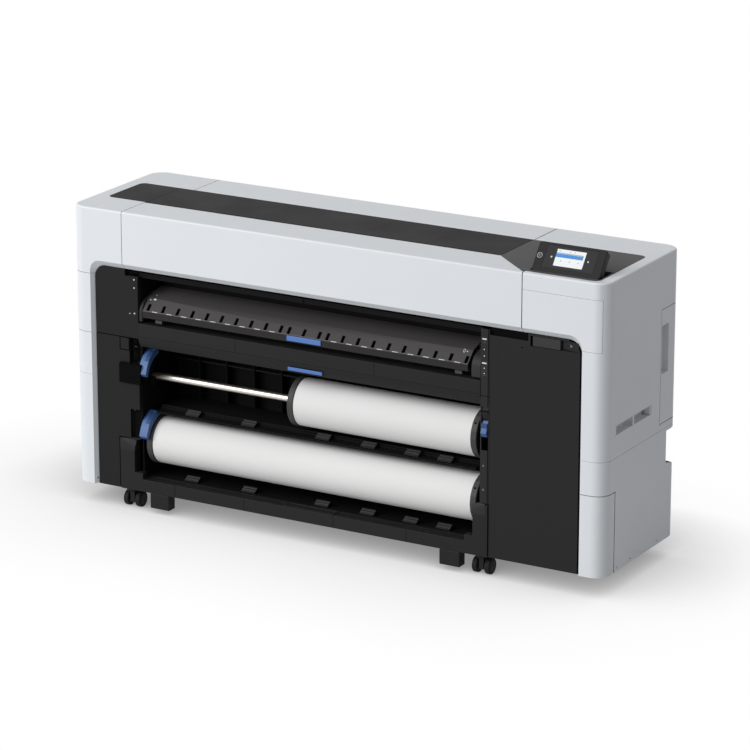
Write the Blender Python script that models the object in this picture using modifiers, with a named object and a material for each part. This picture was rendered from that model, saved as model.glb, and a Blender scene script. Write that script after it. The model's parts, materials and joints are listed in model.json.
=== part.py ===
"""Large format plotter: a floor-standing printer with two paper rolls in a bay under the print unit.

Metres, +Z up. +X runs along the rolls to the control panel's side, -Y faces the person who uses it, and
the origin lies on the floor under the middle of the casing.
"""

from math import cos, hypot, pi, radians, sin

import bmesh
import bpy
from mathutils import Matrix, Vector

# Driving dimensions, in metres

# Clearances and wall thicknesses
TOUCH = 0.0003               # between pieces that touch
SEAM = 0.0008                # between neighbouring covers
CUT = 0.010                  # how far a cutting shape runs past the face that it opens
WALL = 0.004                 # moulded covers
SHEET = 0.003                # folded sheet of the base and the rack
FRAME_SHEET = 0.004          # side plates
PANEL_DEPTH = 0.0197         # black front panels, front to back

# Paper rolls
LOWER_PAPER_WIDTH = 1.1176   # 44 inch roll
UPPER_PAPER_WIDTH = 0.6096   # 24 inch roll
ROLL_DIAMETER = 0.1494
CORE_DIAMETER = 0.0508       # 2 inch core
SPINDLE_DIAMETER = 0.0235
SPINDLE_END_GAP = 0.001
FLANGE_THICKNESS = 0.020
FLANGE_RIM = 0.003           # flange edge beyond the paper
FLANGE_SIDE_GAP = 0.0177     # flange to the bay's side
HUB_LENGTH = 0.030           # flange hub inside the core
ROLL_SETBACK = 0.020         # roll surface behind the front plane
CRADLE_LENGTH = 0.012        # spindle rest on a side plate
CRADLE_WIDTH = 0.044
CRADLE_DEPTH = 0.030         # below the spindle's axis

# Heights, stacked from the floor
GROUND_CLEARANCE = 0.067
BASE_HEIGHT = 0.040
LOWER_ROLL_GAP = 0.0783      # casing's underside to the lower roll
ROLL_GAP = 0.0526            # lower roll to upper roll
FLAP_GAP = 0.0373            # upper roll to the guide flap
FLAP_HEIGHT = 0.034
BEAM_FACE_HEIGHT = 0.043
GUIDE_GAP = 0.040            # beam's top to the output guide's edge
EXIT_HEIGHT = 0.126          # output guide's edge to the front cover's lip
COVER_DROP = 0.183           # front cover's lip to the top

# Widths, from left to right
LEFT_COLUMN_WIDTH = 0.068
LEFT_REVEAL_WIDTH = 0.0107   # slanted edge round the black fronts
LEFT_PANEL_WIDTH = 0.156
RIGHT_COLUMN_WIDTH = 0.029
DOOR_WIDTH = 0.2975
RIGHT_REVEAL_WIDTH = 0.0067
WHITE_COLUMN_WIDTH = 0.079

# Depths, from the front plane
BODY_DEPTH = 0.491
PANEL_RECESS = 0.010         # black fronts behind the white front plane
REVEAL_DEPTH = 0.015
FRONT_WALL = REVEAL_DEPTH    # end covers, in front
COVER_TOP_DEPTH = 0.137      # white part of the lid's top
WINDOW_DEPTH = 0.201         # dark strip
BACK_GAP = 0.060             # rolls to the bay's back wall

# Casing details
FRONT_CORNER_RADIUS = 0.045
REAR_CORNER_RADIUS = 0.048
TOP_EDGE_RADIUS = 0.006
LIP_CHAMFER = 0.017
INNER_CORNER_RADIUS = 0.035
LID_LEFT_OVERHANG = 0.0485   # lid beyond the bay, left
LID_RIGHT_OVERHANG = 0.1385
REAR_SPLIT_LEFT = 0.0015     # top rear cover's ends, in from the bay's sides
REAR_SPLIT_RIGHT = 0.0005
LEFT_END_HEIGHT = 0.210
RIGHT_END_HEIGHT = 0.538
REAR_COVER_DROP = 0.160
MAINTENANCE_HEIGHT = 0.250
MAINTENANCE_DEPTH = 0.070
TRIM_LENGTH = 0.142          # dark strip's end in the left end cover
TRIM_DEPTH = 0.0025
TRIM_CORNER_RADIUS = 0.020
GRIP_SLOT_LENGTH = 0.241     # carrying slot in the right side
GRIP_SLOT_HEIGHT = 0.029
GRIP_SLOT_SETBACK = 0.064
GRIP_SLOT_DROP = 0.440
GRIP_SLOT_BRIDGE = 0.008     # between its two halves
ACCESS_SETBACK = 0.362       # access panel at the right rear
ACCESS_DROP = 0.165
ACCESS_HEIGHT = 0.352
ACCESS_BACK_WIDTH = 0.075
ACCESS_GRIP_DROP = 0.049
ACCESS_GRIP_HEIGHT = 0.149
ACCESS_GRIP_LENGTH = 0.045
ACCESS_GRIP_DEPTH = 0.025
REAR_NOTCH_DROP = 0.012      # notch at the right rear, below the cover's seam
REAR_NOTCH_HEIGHT = 0.125
REAR_NOTCH_DEPTH = 0.081
REAR_NOTCH_SLOPE = 0.025

# Control panel and its tray
TRAY_FRONT = 0.020
TRAY_DIAGONAL_REAR = 0.132
TRAY_LEFT_GAP = 0.0025       # tray beyond the bay's right side, on the left
TRAY_DIAGONAL_WIDTH = 0.135
TRAY_RIGHT_STRIP = 0.040     # white strip beside the tray
TRAY_CORNER_RADIUS = 0.020
PANEL_WIDTH = 0.220
PANEL_SLANT = 0.090
PANEL_THICKNESS = 0.024
PANEL_EDGE_RADIUS = 0.005
PANEL_ANGLE = radians(52.0)
PANEL_LID_GAP = 0.005        # lid's end to the panel
PANEL_SETBACK = 0.045
PANEL_RISE = 0.0015
PANEL_AXIS_UP = 0.010        # hinge line from the panel's lower edge
PANEL_AXIS_IN = 0.014        # hinge line behind the panel's face
PANEL_PIN_RADIUS = 0.004
POCKET_SIDE_GAP = 0.004
POCKET_FRONT = 0.040
POCKET_LENGTH = 0.088
POCKET_DEPTH = 0.022
GLASS_LEFT = 0.0293
GLASS_LOW = 0.010
GLASS_WIDTH = 0.1646
GLASS_HEIGHT = 0.0715
GLASS_THICKNESS = 0.002
BUTTON_RADIUS = 0.0065
BUTTON_LEFT = 0.0134
BUTTON_LENGTH = 0.005
BUTTON_PROUD = 0.0015
BUTTON_CLEARANCE = 0.0004
BUTTON_HOLE_DEPTH = 0.006

# Fronts, guides and trays of the roll bay
DOOR_THICKNESS = 0.012
DOOR_PULL_WIDTH = 0.151
DOOR_PULL_HEIGHT = 0.024
DOOR_PULL_EDGE = 0.007
DOOR_PULL_DEPTH = 0.008
DOOR_CORNER_RADIUS = 0.040
LEFT_PANEL_STEP = 0.046      # step in the upper left panel's corner
LEFT_PANEL_STEP_DROP = 0.020
LEFT_SPLIT_DROP = 0.0075     # joint of the two panels, below the beam's crease
LEVER_NOTCH_WIDTH = 0.068
LEVER_NOTCH_HEIGHT = 0.063
LEVER_NOTCH_INSET = 0.034    # open corner above the upper notch, and the lower notch
LOWER_NOTCH_HEIGHT = 0.110   # lower notch's top above the lower spindle
LEVER_NOTCH_RISE = 0.007     # notch's lower edge below the upper spindle
LEVER_NOTCH_DEPTH = 0.012
BRACKET_HEIGHT = 0.165
BRACKET_CHAMFER = 0.025
BRACKET_LEFT_WIDTH = 0.073
BRACKET_LEFT_GAP = 0.020     # bracket's inner edge to the bay's left side
BRACKET_RIGHT_INSET = 0.0218
BRACKET_SETBACK = 0.006
BRACKET_FLANGE_GAP = 0.0025   # right bracket to the lower roll's flange behind it
GUIDE_SETBACK = 0.012
GUIDE_LENGTH = 0.106
GUIDE_RISE = 0.057
GUIDE_SHEET = 0.004
GUIDE_BAND_DEPTH = 0.036     # steeper band along the front edge
GUIDE_BAND_RISE = 0.036
GUIDE_LIP_DROP = 0.020
GUIDE_LIP_RETURN = 0.020
GUIDE_LIP_FALL = 0.006
GUIDE_SLOT_PITCH = 0.0525
GUIDE_SLOT_PAIR = 0.029      # between the slots of the close pairs beside the middle one
GUIDE_SLOT_ROW = 10          # slots on each side of the pair
GUIDE_SLOT_SHIFT = -0.011    # middle slot from the bay's middle
GUIDE_SLOT_WIDTH = 0.011
GUIDE_SLOT_LENGTH = 0.025
GUIDE_SLOT_EDGE = 0.004      # from the guide's front edge
BEAM_SETBACK = 0.008
BEAM_DEPTH = 0.092
BEAM_SHEET = 0.005
FLAP_CURL = 0.012
RIB_COUNT = 11
RIB_WIDTH = 0.006
RIB_DEPTH = 0.030
SHELF_FRONT = 0.048
SHELF_SHEET = 0.005
SHELF_GAP = 0.014            # shelf's rear edge below the upper roll
SHELF_SLOPE = 0.011
SHELF_SIDE_GAP = 0.034

# Lock levers at the spindle ends
LEVER_WIDTH = 0.030
RIGHT_LEVER_WIDTH = 0.020
LEVER_REACH = 0.068          # pivot to tip, forwards and down alike
LEVER_PIVOT_RISE = 0.091
LEVER_PIVOT_BACK = 0.020     # pivot in front of the spindle's axis
LEVER_ROOT = 0.012           # half width at the pivot
LEVER_TIP = 0.0075           # half width at the tip
LEVER_BULGE = 0.014          # outwards, round the roll's flange
LEVER_SLOT_RISE = 0.110      # opening in the right column, above the spindle
LEVER_SLOT_FALL = 0.025      # and below it

# Print unit
PRINT_DROP = 0.215           # platen's top below the casing's top
PLATEN_FRONT = 0.105
PLATEN_DEPTH = 0.100
PLATEN_THICKNESS = 0.010
FEED_RADIUS = 0.014
FEED_JOURNAL_RADIUS = 0.006
FEED_SETBACK = 0.223
CUTTER_SETBACK = 0.0305
CUTTER_DEPTH = 0.030
CUTTER_HEIGHT = 0.022
RAIL_SETBACK = 0.266
RAIL_DEPTH = 0.034
RAIL_HEIGHT = 0.030
RAIL_DROP = 0.095            # rail's top below the casing's top
RAIL_END_GAP = 0.030
PLATE_DEPTH = 0.320
PLATE_FRONT = 0.030
CARRIAGE_FRONT = 0.115
CARRIAGE_WIDTH = 0.160
CARRIAGE_HEAD_GAP = 0.003
CARRIAGE_ARM = 0.012
CARRIAGE_PARK = 0.0545       # carriage's middle right of the lid's end
BELT_ZONE = 0.026            # between the carriage and the rail
BELT_THICKNESS = 0.002
BELT_HEIGHT = 0.010
PULLEY_RADIUS = 0.009
PULLEY_HEIGHT = 0.012
PULLEY_INSET = 0.030         # pulley's axis in from the rail's end
BRACKET_SHEET = 0.003
MOTOR_RADIUS = 0.028
MOTOR_HEIGHT = 0.050
SHAFT_RADIUS = 0.003

# Ink, waste ink and electronics
CARTRIDGE_COUNT = 4
CARTRIDGE_HEIGHT = 0.120
CARTRIDGE_DEPTH = 0.300
CARTRIDGE_GAP = 0.0005
RACK_SETBACK = 0.030
RACK_DEPTH = 0.390
RACK_SIDE_GAP = 0.004
RACK_TOP_GAP = 0.040         # rack's top below the print level
RACK_WALL = 0.004
BOX_WIDTH = 0.066
BOX_SETBACK = 0.050
BOX_DEPTH = 0.200
BOX_HEIGHT = 0.150
BOX_SIDE_GAP = 0.008
ELECTRONICS_WIDTH = 0.500
ELECTRONICS_DEPTH = 0.100
ELECTRONICS_HEIGHT = 0.240
ELECTRONICS_RISE = 0.180     # above the base
INLET_WIDTH = 0.028
INLET_HEIGHT = 0.024
INLET_DEPTH = 0.016
INLET_RIM = 0.003

# Castors and feet
WHEEL_DIAMETER = 0.050
WHEEL_WIDTH = 0.017
WHEEL_SPACING = 0.042
AXLE_RADIUS = 0.004
FORK_WIDTH = 0.016
FORK_LENGTH = 0.036
FORK_LOW = 0.016             # fork's lower edge above the floor
CASTOR_TRAIL = 0.012
SWIVEL_RADIUS = 0.020
SWIVEL_HEIGHT = 0.010
CASTOR_LEFT_OUTSET = 0.0485  # castors, out from the bay's left side
CASTOR_RIGHT_INSET = 0.0045
CASTOR_FRONT = 0.038         # from the front plane
CASTOR_REAR = 0.075          # from the back plane
FOOT_WIDTH = 0.069
FOOT_DEPTH = 0.036
FOOT_SETBACK = 0.007
FOOT_CLEARANCE = 0.0175      # under the soles, as the castors carry the machine
FOOT_TOE_HEIGHT = 0.004
FOOT_TOE_LENGTH = 0.004
FOOT_LEFT_INSET = 0.0685     # feet, in from the bay's sides
FOOT_RIGHT_INSET = 0.0995

# Facets round a full turn
ROUND_STEPS = 32
SMALL_STEPS = 20

# Colour, roughness and metallic value of each finish
LOOKS = {
    "white": ((0.74, 0.77, 0.80), 0.45, 0.0),
    "black": ((0.024, 0.024, 0.026), 0.5, 0.0),
    "dark": ((0.035, 0.033, 0.037), 0.35, 0.0),
    "tray": ((0.09, 0.09, 0.09), 0.5, 0.0),
    "guide": ((0.085, 0.080, 0.082), 0.45, 0.0),
    "blue": ((0.10, 0.19, 0.49), 0.45, 0.0),
    "paper": ((0.82, 0.82, 0.81), 0.8, 0.0),
    "steel": ((0.62, 0.61, 0.58), 0.3, 1.0),
    "painted": ((0.05, 0.05, 0.055), 0.5, 0.0),
    "rubber": ((0.02, 0.02, 0.02), 0.8, 0.0),
    "glass": ((0.03, 0.035, 0.045), 0.1, 0.0),
    "ink": ((0.10, 0.10, 0.11), 0.4, 0.0),
    "aluminium": ((0.60, 0.61, 0.62), 0.35, 1.0),
}

# Places worked out from the driving dimensions

roll_radius = ROLL_DIAMETER / 2
flange_radius = roll_radius + FLANGE_RIM
spindle_radius = SPINDLE_DIAMETER / 2
core_radius = CORE_DIAMETER / 2
bay_width = LOWER_PAPER_WIDTH + 2 * (FLANGE_THICKNESS + FLANGE_SIDE_GAP + TOUCH)
left_width = LEFT_COLUMN_WIDTH + LEFT_REVEAL_WIDTH + SEAM + LEFT_PANEL_WIDTH
right_width = RIGHT_COLUMN_WIDTH + SEAM + DOOR_WIDTH + SEAM + RIGHT_REVEAL_WIDTH + WHITE_COLUMN_WIDTH
body_width = left_width + bay_width + right_width

x_left = -body_width / 2
x_right = body_width / 2
x_column = x_left + LEFT_COLUMN_WIDTH
x_panel = x_column + LEFT_REVEAL_WIDTH + SEAM
x_bay_left = x_left + left_width
x_bay_right = x_bay_left + bay_width
x_column_right = x_bay_right + RIGHT_COLUMN_WIDTH
x_door = x_column_right + SEAM
x_door_right = x_door + DOOR_WIDTH
x_white = x_right - WHITE_COLUMN_WIDTH
x_lid_left = x_bay_left - LID_LEFT_OVERHANG
x_lid_right = x_bay_right + LID_RIGHT_OVERHANG
x_rear_left = x_bay_left + REAR_SPLIT_LEFT
x_rear_right = x_bay_right + REAR_SPLIT_RIGHT
x_tray = x_bay_right - TRAY_LEFT_GAP
x_tray_right = x_right - TRAY_RIGHT_STRIP

y_front = -BODY_DEPTH / 2
y_back = BODY_DEPTH / 2
y_panel = y_front + PANEL_RECESS
y_panel_back = y_panel + PANEL_DEPTH
y_plate = y_front + PLATE_FRONT
y_base = y_front + FRONT_CORNER_RADIUS
y_roll = y_front + ROLL_SETBACK + roll_radius
y_wall = y_roll + roll_radius + BACK_GAP
y_window = y_front + COVER_TOP_DEPTH
y_hinge = y_window + WINDOW_DEPTH
y_rail = y_front + RAIL_SETBACK

z_low = GROUND_CLEARANCE
z_base = z_low + BASE_HEIGHT
z_lower_roll = z_low + LOWER_ROLL_GAP + roll_radius
z_upper_roll = z_lower_roll + ROLL_DIAMETER + ROLL_GAP
z_flap = z_upper_roll + roll_radius + FLAP_GAP
z_crease = z_flap + FLAP_HEIGHT
z_beam = z_crease + BEAM_FACE_HEIGHT
z_guide = z_beam + GUIDE_GAP
z_lip = z_guide + EXIT_HEIGHT
z_top = z_lip + COVER_DROP
z_left_end = z_top - LEFT_END_HEIGHT
z_right_end = z_top - RIGHT_END_HEIGHT
z_print = z_top - PRINT_DROP
z_rail_top = z_top - RAIL_DROP
z_rail = z_rail_top - RAIL_HEIGHT
z_bracket = z_low + BRACKET_HEIGHT

# Scene and collections

for old in list(bpy.data.objects):
    bpy.data.objects.remove(old, do_unlink=True)


def new_collection(name):
    collection = bpy.data.collections.new(name)
    bpy.context.scene.collection.children.link(collection)
    return collection


parts = new_collection("large_format_plotter")
cutters = new_collection("cutters")


def finish(obj, look):
    """Give an object a material of its own."""
    colour, roughness, metallic = LOOKS[look]
    material = bpy.data.materials.new(obj.name)
    material.use_nodes = True
    shader = material.node_tree.nodes["Principled BSDF"]
    shader.inputs["Base Color"].default_value = (*colour, 1.0)
    shader.inputs["Roughness"].default_value = roughness
    shader.inputs["Metallic"].default_value = metallic
    obj.data.materials.append(material)


def register(obj, look):
    """A piece with a look joins the parts, and a shape without one is a cutter."""
    if look is None:
        cutters.objects.link(obj)
        obj.hide_render = True
        obj.display_type = "WIRE"
        return obj
    parts.objects.link(obj)
    finish(obj, look)
    return obj


def piece(name, mesh, look=None, origin=(0, 0, 0)):
    """An object from a mesh in world coordinates, with its origin on a chosen point."""
    mesh.transform(Matrix.Translation(-Vector(origin)))
    mesh.set_sharp_from_angle(angle=radians(30))
    obj = bpy.data.objects.new(name, mesh)
    obj.location = origin
    return register(obj, look)


def box(name, x, y, z, look=None, origin=(0, 0, 0)):
    """A block between the low and high values of each axis."""
    low = Vector((x[0], y[0], z[0]))
    high = Vector((x[1], y[1], z[1]))
    size = Matrix.Diagonal((*(high - low), 1.0))
    mesh = bpy.data.meshes.new(name)
    shape = bmesh.new()
    bmesh.ops.create_cube(shape, size=1.0, matrix=Matrix.Translation((low + high) / 2) @ size)
    shape.to_mesh(mesh)
    shape.free()
    return piece(name, mesh, look, origin)


# How an outline's own axes lie in the world when it is extruded along X, Y or Z
OUTLINE_AXES = {
    "X": Matrix(((0, 0, 1), (1, 0, 0), (0, 1, 0))),
    "Y": Matrix(((1, 0, 0), (0, 0, -1), (0, 1, 0))),
    "Z": Matrix.Identity(3),
}
WELD = 0.00001


def extrusion(name, outline, axis, span, look=None, origin=(0, 0, 0), holes=()):
    """A flat outline, with any holes in it, given a thickness along one axis."""
    curve = bpy.data.curves.new(name, "CURVE")
    curve.dimensions = "2D"
    curve.fill_mode = "BOTH"
    curve.extrude = (span[1] - span[0]) / 2
    for loop in (outline, *holes):
        spline = curve.splines.new("POLY")
        spline.points.add(len(loop) - 1)
        for point, (u, v) in zip(spline.points, loop):
            point.co = (u, v, 0, 1)
        spline.use_cyclic_u = True
    drawing = bpy.data.objects.new(name + "_outline", curve)
    bpy.context.scene.collection.objects.link(drawing)
    evaluated = drawing.evaluated_get(bpy.context.evaluated_depsgraph_get())
    mesh = bpy.data.meshes.new_from_object(evaluated)
    bpy.data.objects.remove(drawing)
    mesh.name = name
    shape = bmesh.new()
    shape.from_mesh(mesh)
    bmesh.ops.remove_doubles(shape, verts=shape.verts, dist=WELD)
    bmesh.ops.recalc_face_normals(shape, faces=shape.faces)
    shape.to_mesh(mesh)
    shape.free()
    middle = (span[0] + span[1]) / 2
    shift = {"X": (middle, 0, 0), "Y": (0, middle, 0), "Z": (0, 0, middle)}[axis]
    mesh.transform(Matrix.Translation(shift) @ OUTLINE_AXES[axis].to_4x4())
    return piece(name, mesh, look, origin)


def turned(name, profile, axis, centre, look=None, steps=ROUND_STEPS):
    """A profile of (radius, place along the axis), from the far end back, turned round the axis."""
    closed = profile[0][0] > 0
    count = len(profile)
    mesh = bpy.data.meshes.new(name)
    shape = bmesh.new()
    corners = [shape.verts.new((radius, 0, along)) for radius, along in profile]
    for index in range(count if closed else count - 1):
        shape.edges.new((corners[index], corners[(index + 1) % count]))
    shape.to_mesh(mesh)
    shape.free()
    obj = bpy.data.objects.new(name, mesh)
    obj.location = centre
    if axis == "X":
        obj.rotation_euler = (0, pi / 2, 0)
    screw = obj.modifiers.new("turn", "SCREW")
    screw.steps = steps
    screw.render_steps = steps
    screw.use_merge_vertices = True
    screw.merge_threshold = WELD
    screw.use_smooth_shade = False
    return register(obj, look)


def combine(target, tool, operation):
    modifier = target.modifiers.new(tool.name, "BOOLEAN")
    modifier.operation = operation
    modifier.object = tool
    modifier.solver = "EXACT"


def cut(target, tool):
    combine(target, tool, "DIFFERENCE")


def join(target, tool):
    combine(target, tool, "UNION")


def arc(centre, radius, start, end, steps=6):
    """Points round part of a circle, angles in degrees."""
    turns = [radians(start + (end - start) * index / steps) for index in range(steps + 1)]
    return [(centre[0] + radius * cos(turn), centre[1] + radius * sin(turn)) for turn in turns]


def offset_path(path, distance):
    """The same path moved to its left by a distance, with mitred corners."""
    normals = []
    for (u0, v0), (u1, v1) in zip(path, path[1:]):
        length = hypot(u1 - u0, v1 - v0)
        normals.append(Vector((-(v1 - v0) / length, (u1 - u0) / length)))
    moved = []
    for index, point in enumerate(path):
        before = normals[max(index - 1, 0)]
        after = normals[min(index, len(normals) - 1)]
        middle = before + after
        reach = distance * 2 / middle.length_squared
        moved.append((point[0] + middle.x * reach, point[1] + middle.y * reach))
    return moved


def shell(path, thickness):
    """The closed outline of a bent wall: a path and its offset."""
    return path + offset_path(path, thickness)[::-1]


def circle(centre, radius, steps=SMALL_STEPS):
    return arc(centre, radius, 0, 360, steps)[:-1]


def rectangle(u, v):
    return [(u[0], v[0]), (u[1], v[0]), (u[1], v[1]), (u[0], v[1])]


# Outer casing

right_front_corner = (x_right - FRONT_CORNER_RADIUS, y_front + FRONT_CORNER_RADIUS)
right_rear_corner = (x_right - REAR_CORNER_RADIUS, y_back - REAR_CORNER_RADIUS)
left_front_corner = (x_left + FRONT_CORNER_RADIUS, y_front + FRONT_CORNER_RADIUS)
left_rear_corner = (x_left + REAR_CORNER_RADIUS, y_back - REAR_CORNER_RADIUS)
right_front_edge = [(x_white - RIGHT_REVEAL_WIDTH, y_front + REVEAL_DEPTH), (x_white, y_front)]
left_front_edge = [(x_column, y_front), (x_column + LEFT_REVEAL_WIDTH, y_front + REVEAL_DEPTH)]
right_front_round = arc(right_front_corner, FRONT_CORNER_RADIUS, -90, 0)
right_rear_round = arc(right_rear_corner, REAR_CORNER_RADIUS, 0, 90)
left_rear_round = arc(left_rear_corner, REAR_CORNER_RADIUS, 90, 180)
left_front_round = arc(left_front_corner, FRONT_CORNER_RADIUS, 180, 270)


def reveal_cutter(name, outline, side):
    """The opening for the black fronts: it narrows inwards along the slanted edge of the white covers."""
    mesh = bpy.data.meshes.new(name)
    shape = bmesh.new()
    lead = CUT / REVEAL_DEPTH
    slant = Vector((side, REVEAL_DEPTH, -LIP_CHAMFER))
    corners = [shape.verts.new(Vector((u, y_front, v)) - slant * lead) for u, v in outline]
    face = shape.faces.new(corners)
    grown = bmesh.ops.extrude_face_region(shape, geom=[face])["geom"]
    moved = [item for item in grown if isinstance(item, bmesh.types.BMVert)]
    bmesh.ops.translate(shape, verts=moved, vec=slant * (1 + 2 * lead))
    bmesh.ops.recalc_face_normals(shape, faces=shape.faces)
    shape.to_mesh(mesh)
    shape.free()
    return piece(name, mesh)


def make_left_covers():
    """Upper end cover and the side cover below it."""
    outline = [(x_lid_left - SEAM, y_front), (x_lid_left - SEAM, y_hinge + SEAM)]
    outline += [(x_rear_left - SEAM, y_hinge + SEAM), (x_rear_left - SEAM, y_back)]
    outline += left_rear_round + left_front_round
    cover = extrusion("left_end_cover", outline, "Z", (z_left_end, z_top), "white")
    inner = [(x_rear_left + CUT, y_front + FRONT_WALL), (x_rear_left + CUT, y_back - WALL)]
    inner += arc(left_rear_corner, REAR_CORNER_RADIUS - WALL, 90, 180)
    inner += arc(left_front_corner, FRONT_CORNER_RADIUS - WALL, 180, 225, 3)
    inner += [(left_front_corner[0], y_front + FRONT_WALL)]
    cut(cover, extrusion("left_end_hollow", inner, "Z", (z_left_end - CUT, z_top - WALL)))
    corner = (x_column + INNER_CORNER_RADIUS, z_lip + LIP_CHAMFER - INNER_CORNER_RADIUS)
    opening = [(x_lid_left + CUT, z_left_end - CUT), (x_lid_left + CUT, z_lip + LIP_CHAMFER)]
    opening += arc(corner, INNER_CORNER_RADIUS, 90, 180)
    opening += [(x_column, z_left_end - CUT)]
    cut(cover, reveal_cutter("left_front_opening", opening, LEFT_REVEAL_WIDTH))
    x_trim = x_lid_left - TRIM_LENGTH
    ends = (y_window + TRIM_CORNER_RADIUS, y_hinge - TRIM_CORNER_RADIUS)
    recess = [(x_lid_left + CUT, y_window), (x_lid_left + CUT, y_hinge)]
    recess += arc((x_trim + TRIM_CORNER_RADIUS, ends[1]), TRIM_CORNER_RADIUS, 90, 180)
    recess += arc((x_trim + TRIM_CORNER_RADIUS, ends[0]), TRIM_CORNER_RADIUS, 180, 270)
    cut(cover, extrusion("left_trim_recess", recess, "Z", (z_top - TRIM_DEPTH, z_top + CUT)))
    path = [(x_rear_left - SEAM, y_back)] + left_rear_round + left_front_round + left_front_edge
    extrusion("left_side_cover", shell(path, WALL), "Z", (z_low, z_left_end - SEAM), "white")


def make_right_covers():
    """Upper end cover with the grip slot, the side cover below it and the swinging maintenance cover."""
    outline = [(x_rear_right + SEAM, y_front)] + right_front_round + right_rear_round
    outline += [(x_rear_right + SEAM, y_back)]
    cover = extrusion("right_end_cover", outline, "Z", (z_right_end, z_top), "white")
    inner = [(x_rear_right - CUT, y_front + FRONT_WALL), (right_front_corner[0], y_front + FRONT_WALL)]
    inner += arc(right_front_corner, FRONT_CORNER_RADIUS - WALL, -45, 0, 3)
    inner += arc(right_rear_corner, REAR_CORNER_RADIUS - WALL, 0, 90)
    inner += [(x_rear_right - CUT, y_back - WALL)]
    cut(cover, extrusion("right_end_hollow", inner, "Z", (z_right_end - CUT, z_top - WALL)))
    lid_x = (x_rear_right - CUT, x_lid_right + SEAM)
    lid_y = (y_front - CUT, y_hinge + SEAM)
    cut(cover, box("lid_clearance", lid_x, lid_y, (z_right_end - CUT, z_top + CUT)))
    tray_y = (y_front + TRAY_FRONT - SEAM, y_hinge + SEAM)
    radius = TRAY_CORNER_RADIUS + SEAM
    centre = x_tray_right - TRAY_CORNER_RADIUS
    hole = [(x_lid_right - CUT, tray_y[1]), (x_lid_right - CUT, tray_y[0])]
    hole += arc((centre, tray_y[0] + radius), radius, -90, 0, 4)
    hole += arc((centre, tray_y[1] - radius), radius, 0, 90, 4)
    cut(cover, extrusion("tray_opening", hole, "Z", (z_top - WALL - CUT, z_top + CUT)))
    corner = (x_white - DOOR_CORNER_RADIUS, z_lip + LIP_CHAMFER - DOOR_CORNER_RADIUS)
    opening = [(x_lid_right - CUT, z_right_end - CUT), (x_white, z_right_end - CUT)]
    opening += arc(corner, DOOR_CORNER_RADIUS, 0, 90)
    opening += [(x_lid_right - CUT, z_lip + LIP_CHAMFER)]
    cut(cover, reveal_cutter("right_front_opening", opening, -RIGHT_REVEAL_WIDTH))

    slot_y = y_front + GRIP_SLOT_SETBACK
    slot_z = (z_top - GRIP_SLOT_DROP - GRIP_SLOT_HEIGHT, z_top - GRIP_SLOT_DROP)
    half = (GRIP_SLOT_LENGTH - GRIP_SLOT_BRIDGE) / 2
    for index in range(2):
        start = slot_y + index * (half + GRIP_SLOT_BRIDGE)
        slot_x = (x_right - WALL - CUT, x_right + CUT)
        cut(cover, box(f"grip_slot_{index}", slot_x, (start, start + half), slot_z))

    y_access = y_front + ACCESS_SETBACK
    z_access = (z_top - ACCESS_DROP - ACCESS_HEIGHT, z_top - ACCESS_DROP)
    hole_x = (x_right - ACCESS_BACK_WIDTH - SEAM, x_right + CUT)
    hole_z = (z_access[0] - SEAM, z_access[1] + SEAM)
    cut(cover, box("access_opening", hole_x, (y_access - SEAM, y_back + CUT), hole_z))
    path = [(x_right, y_access)] + right_rear_round + [(x_right - ACCESS_BACK_WIDTH, y_back)]
    panel = extrusion("side_access_panel", shell(path, WALL), "Z", z_access, "white")
    grip_z = (z_access[1] - ACCESS_GRIP_DROP - ACCESS_GRIP_HEIGHT, z_access[1] - ACCESS_GRIP_DROP)
    tub_x = (x_right - ACCESS_GRIP_DEPTH - WALL, x_right - WALL / 2)
    tub_y = (y_access + TOUCH, y_access + ACCESS_GRIP_LENGTH + 2 * WALL)
    join(panel, box("grip_tub", tub_x, tub_y, (grip_z[0] - WALL, grip_z[1] + WALL)))
    pocket_y = (y_access + WALL, y_access + WALL + ACCESS_GRIP_LENGTH)
    cut(panel, box("grip_pocket", (x_right - ACCESS_GRIP_DEPTH, x_right + CUT), pocket_y, grip_z))

    path = right_front_edge + right_front_round + right_rear_round + [(x_rear_right + SEAM, y_back)]
    low = extrusion("right_side_cover", shell(path, WALL), "Z", (z_low, z_right_end - SEAM), "white")
    z_corner = z_low + MAINTENANCE_HEIGHT
    y_corner = y_front + MAINTENANCE_DEPTH
    corner_x = (x_white - WHITE_COLUMN_WIDTH, x_right + CUT)
    corner_z = (z_low - CUT, z_corner + SEAM)
    cut(low, box("maintenance_opening", corner_x, (y_front - CUT, y_corner + SEAM), corner_z))
    z_notch = z_right_end - REAR_NOTCH_DROP
    y_notch = y_back - REAR_NOTCH_DEPTH
    z_notch_low = z_notch - REAR_NOTCH_HEIGHT
    notch = [(y_notch, z_notch), (y_notch, z_notch_low + REAR_NOTCH_SLOPE)]
    notch += [(y_back + CUT, z_notch_low), (y_back + CUT, z_notch)]
    notch_x = (x_right - REAR_CORNER_RADIUS, x_right + CUT)
    cut(low, extrusion("rear_notch", notch, "X", notch_x))
    path = right_front_edge + right_front_round + [(x_right, y_corner)]
    hinge = (x_right, y_corner, z_low)
    extrusion("maintenance_cover", shell(path, WALL), "Z", (z_low, z_corner), "white", hinge)


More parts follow.
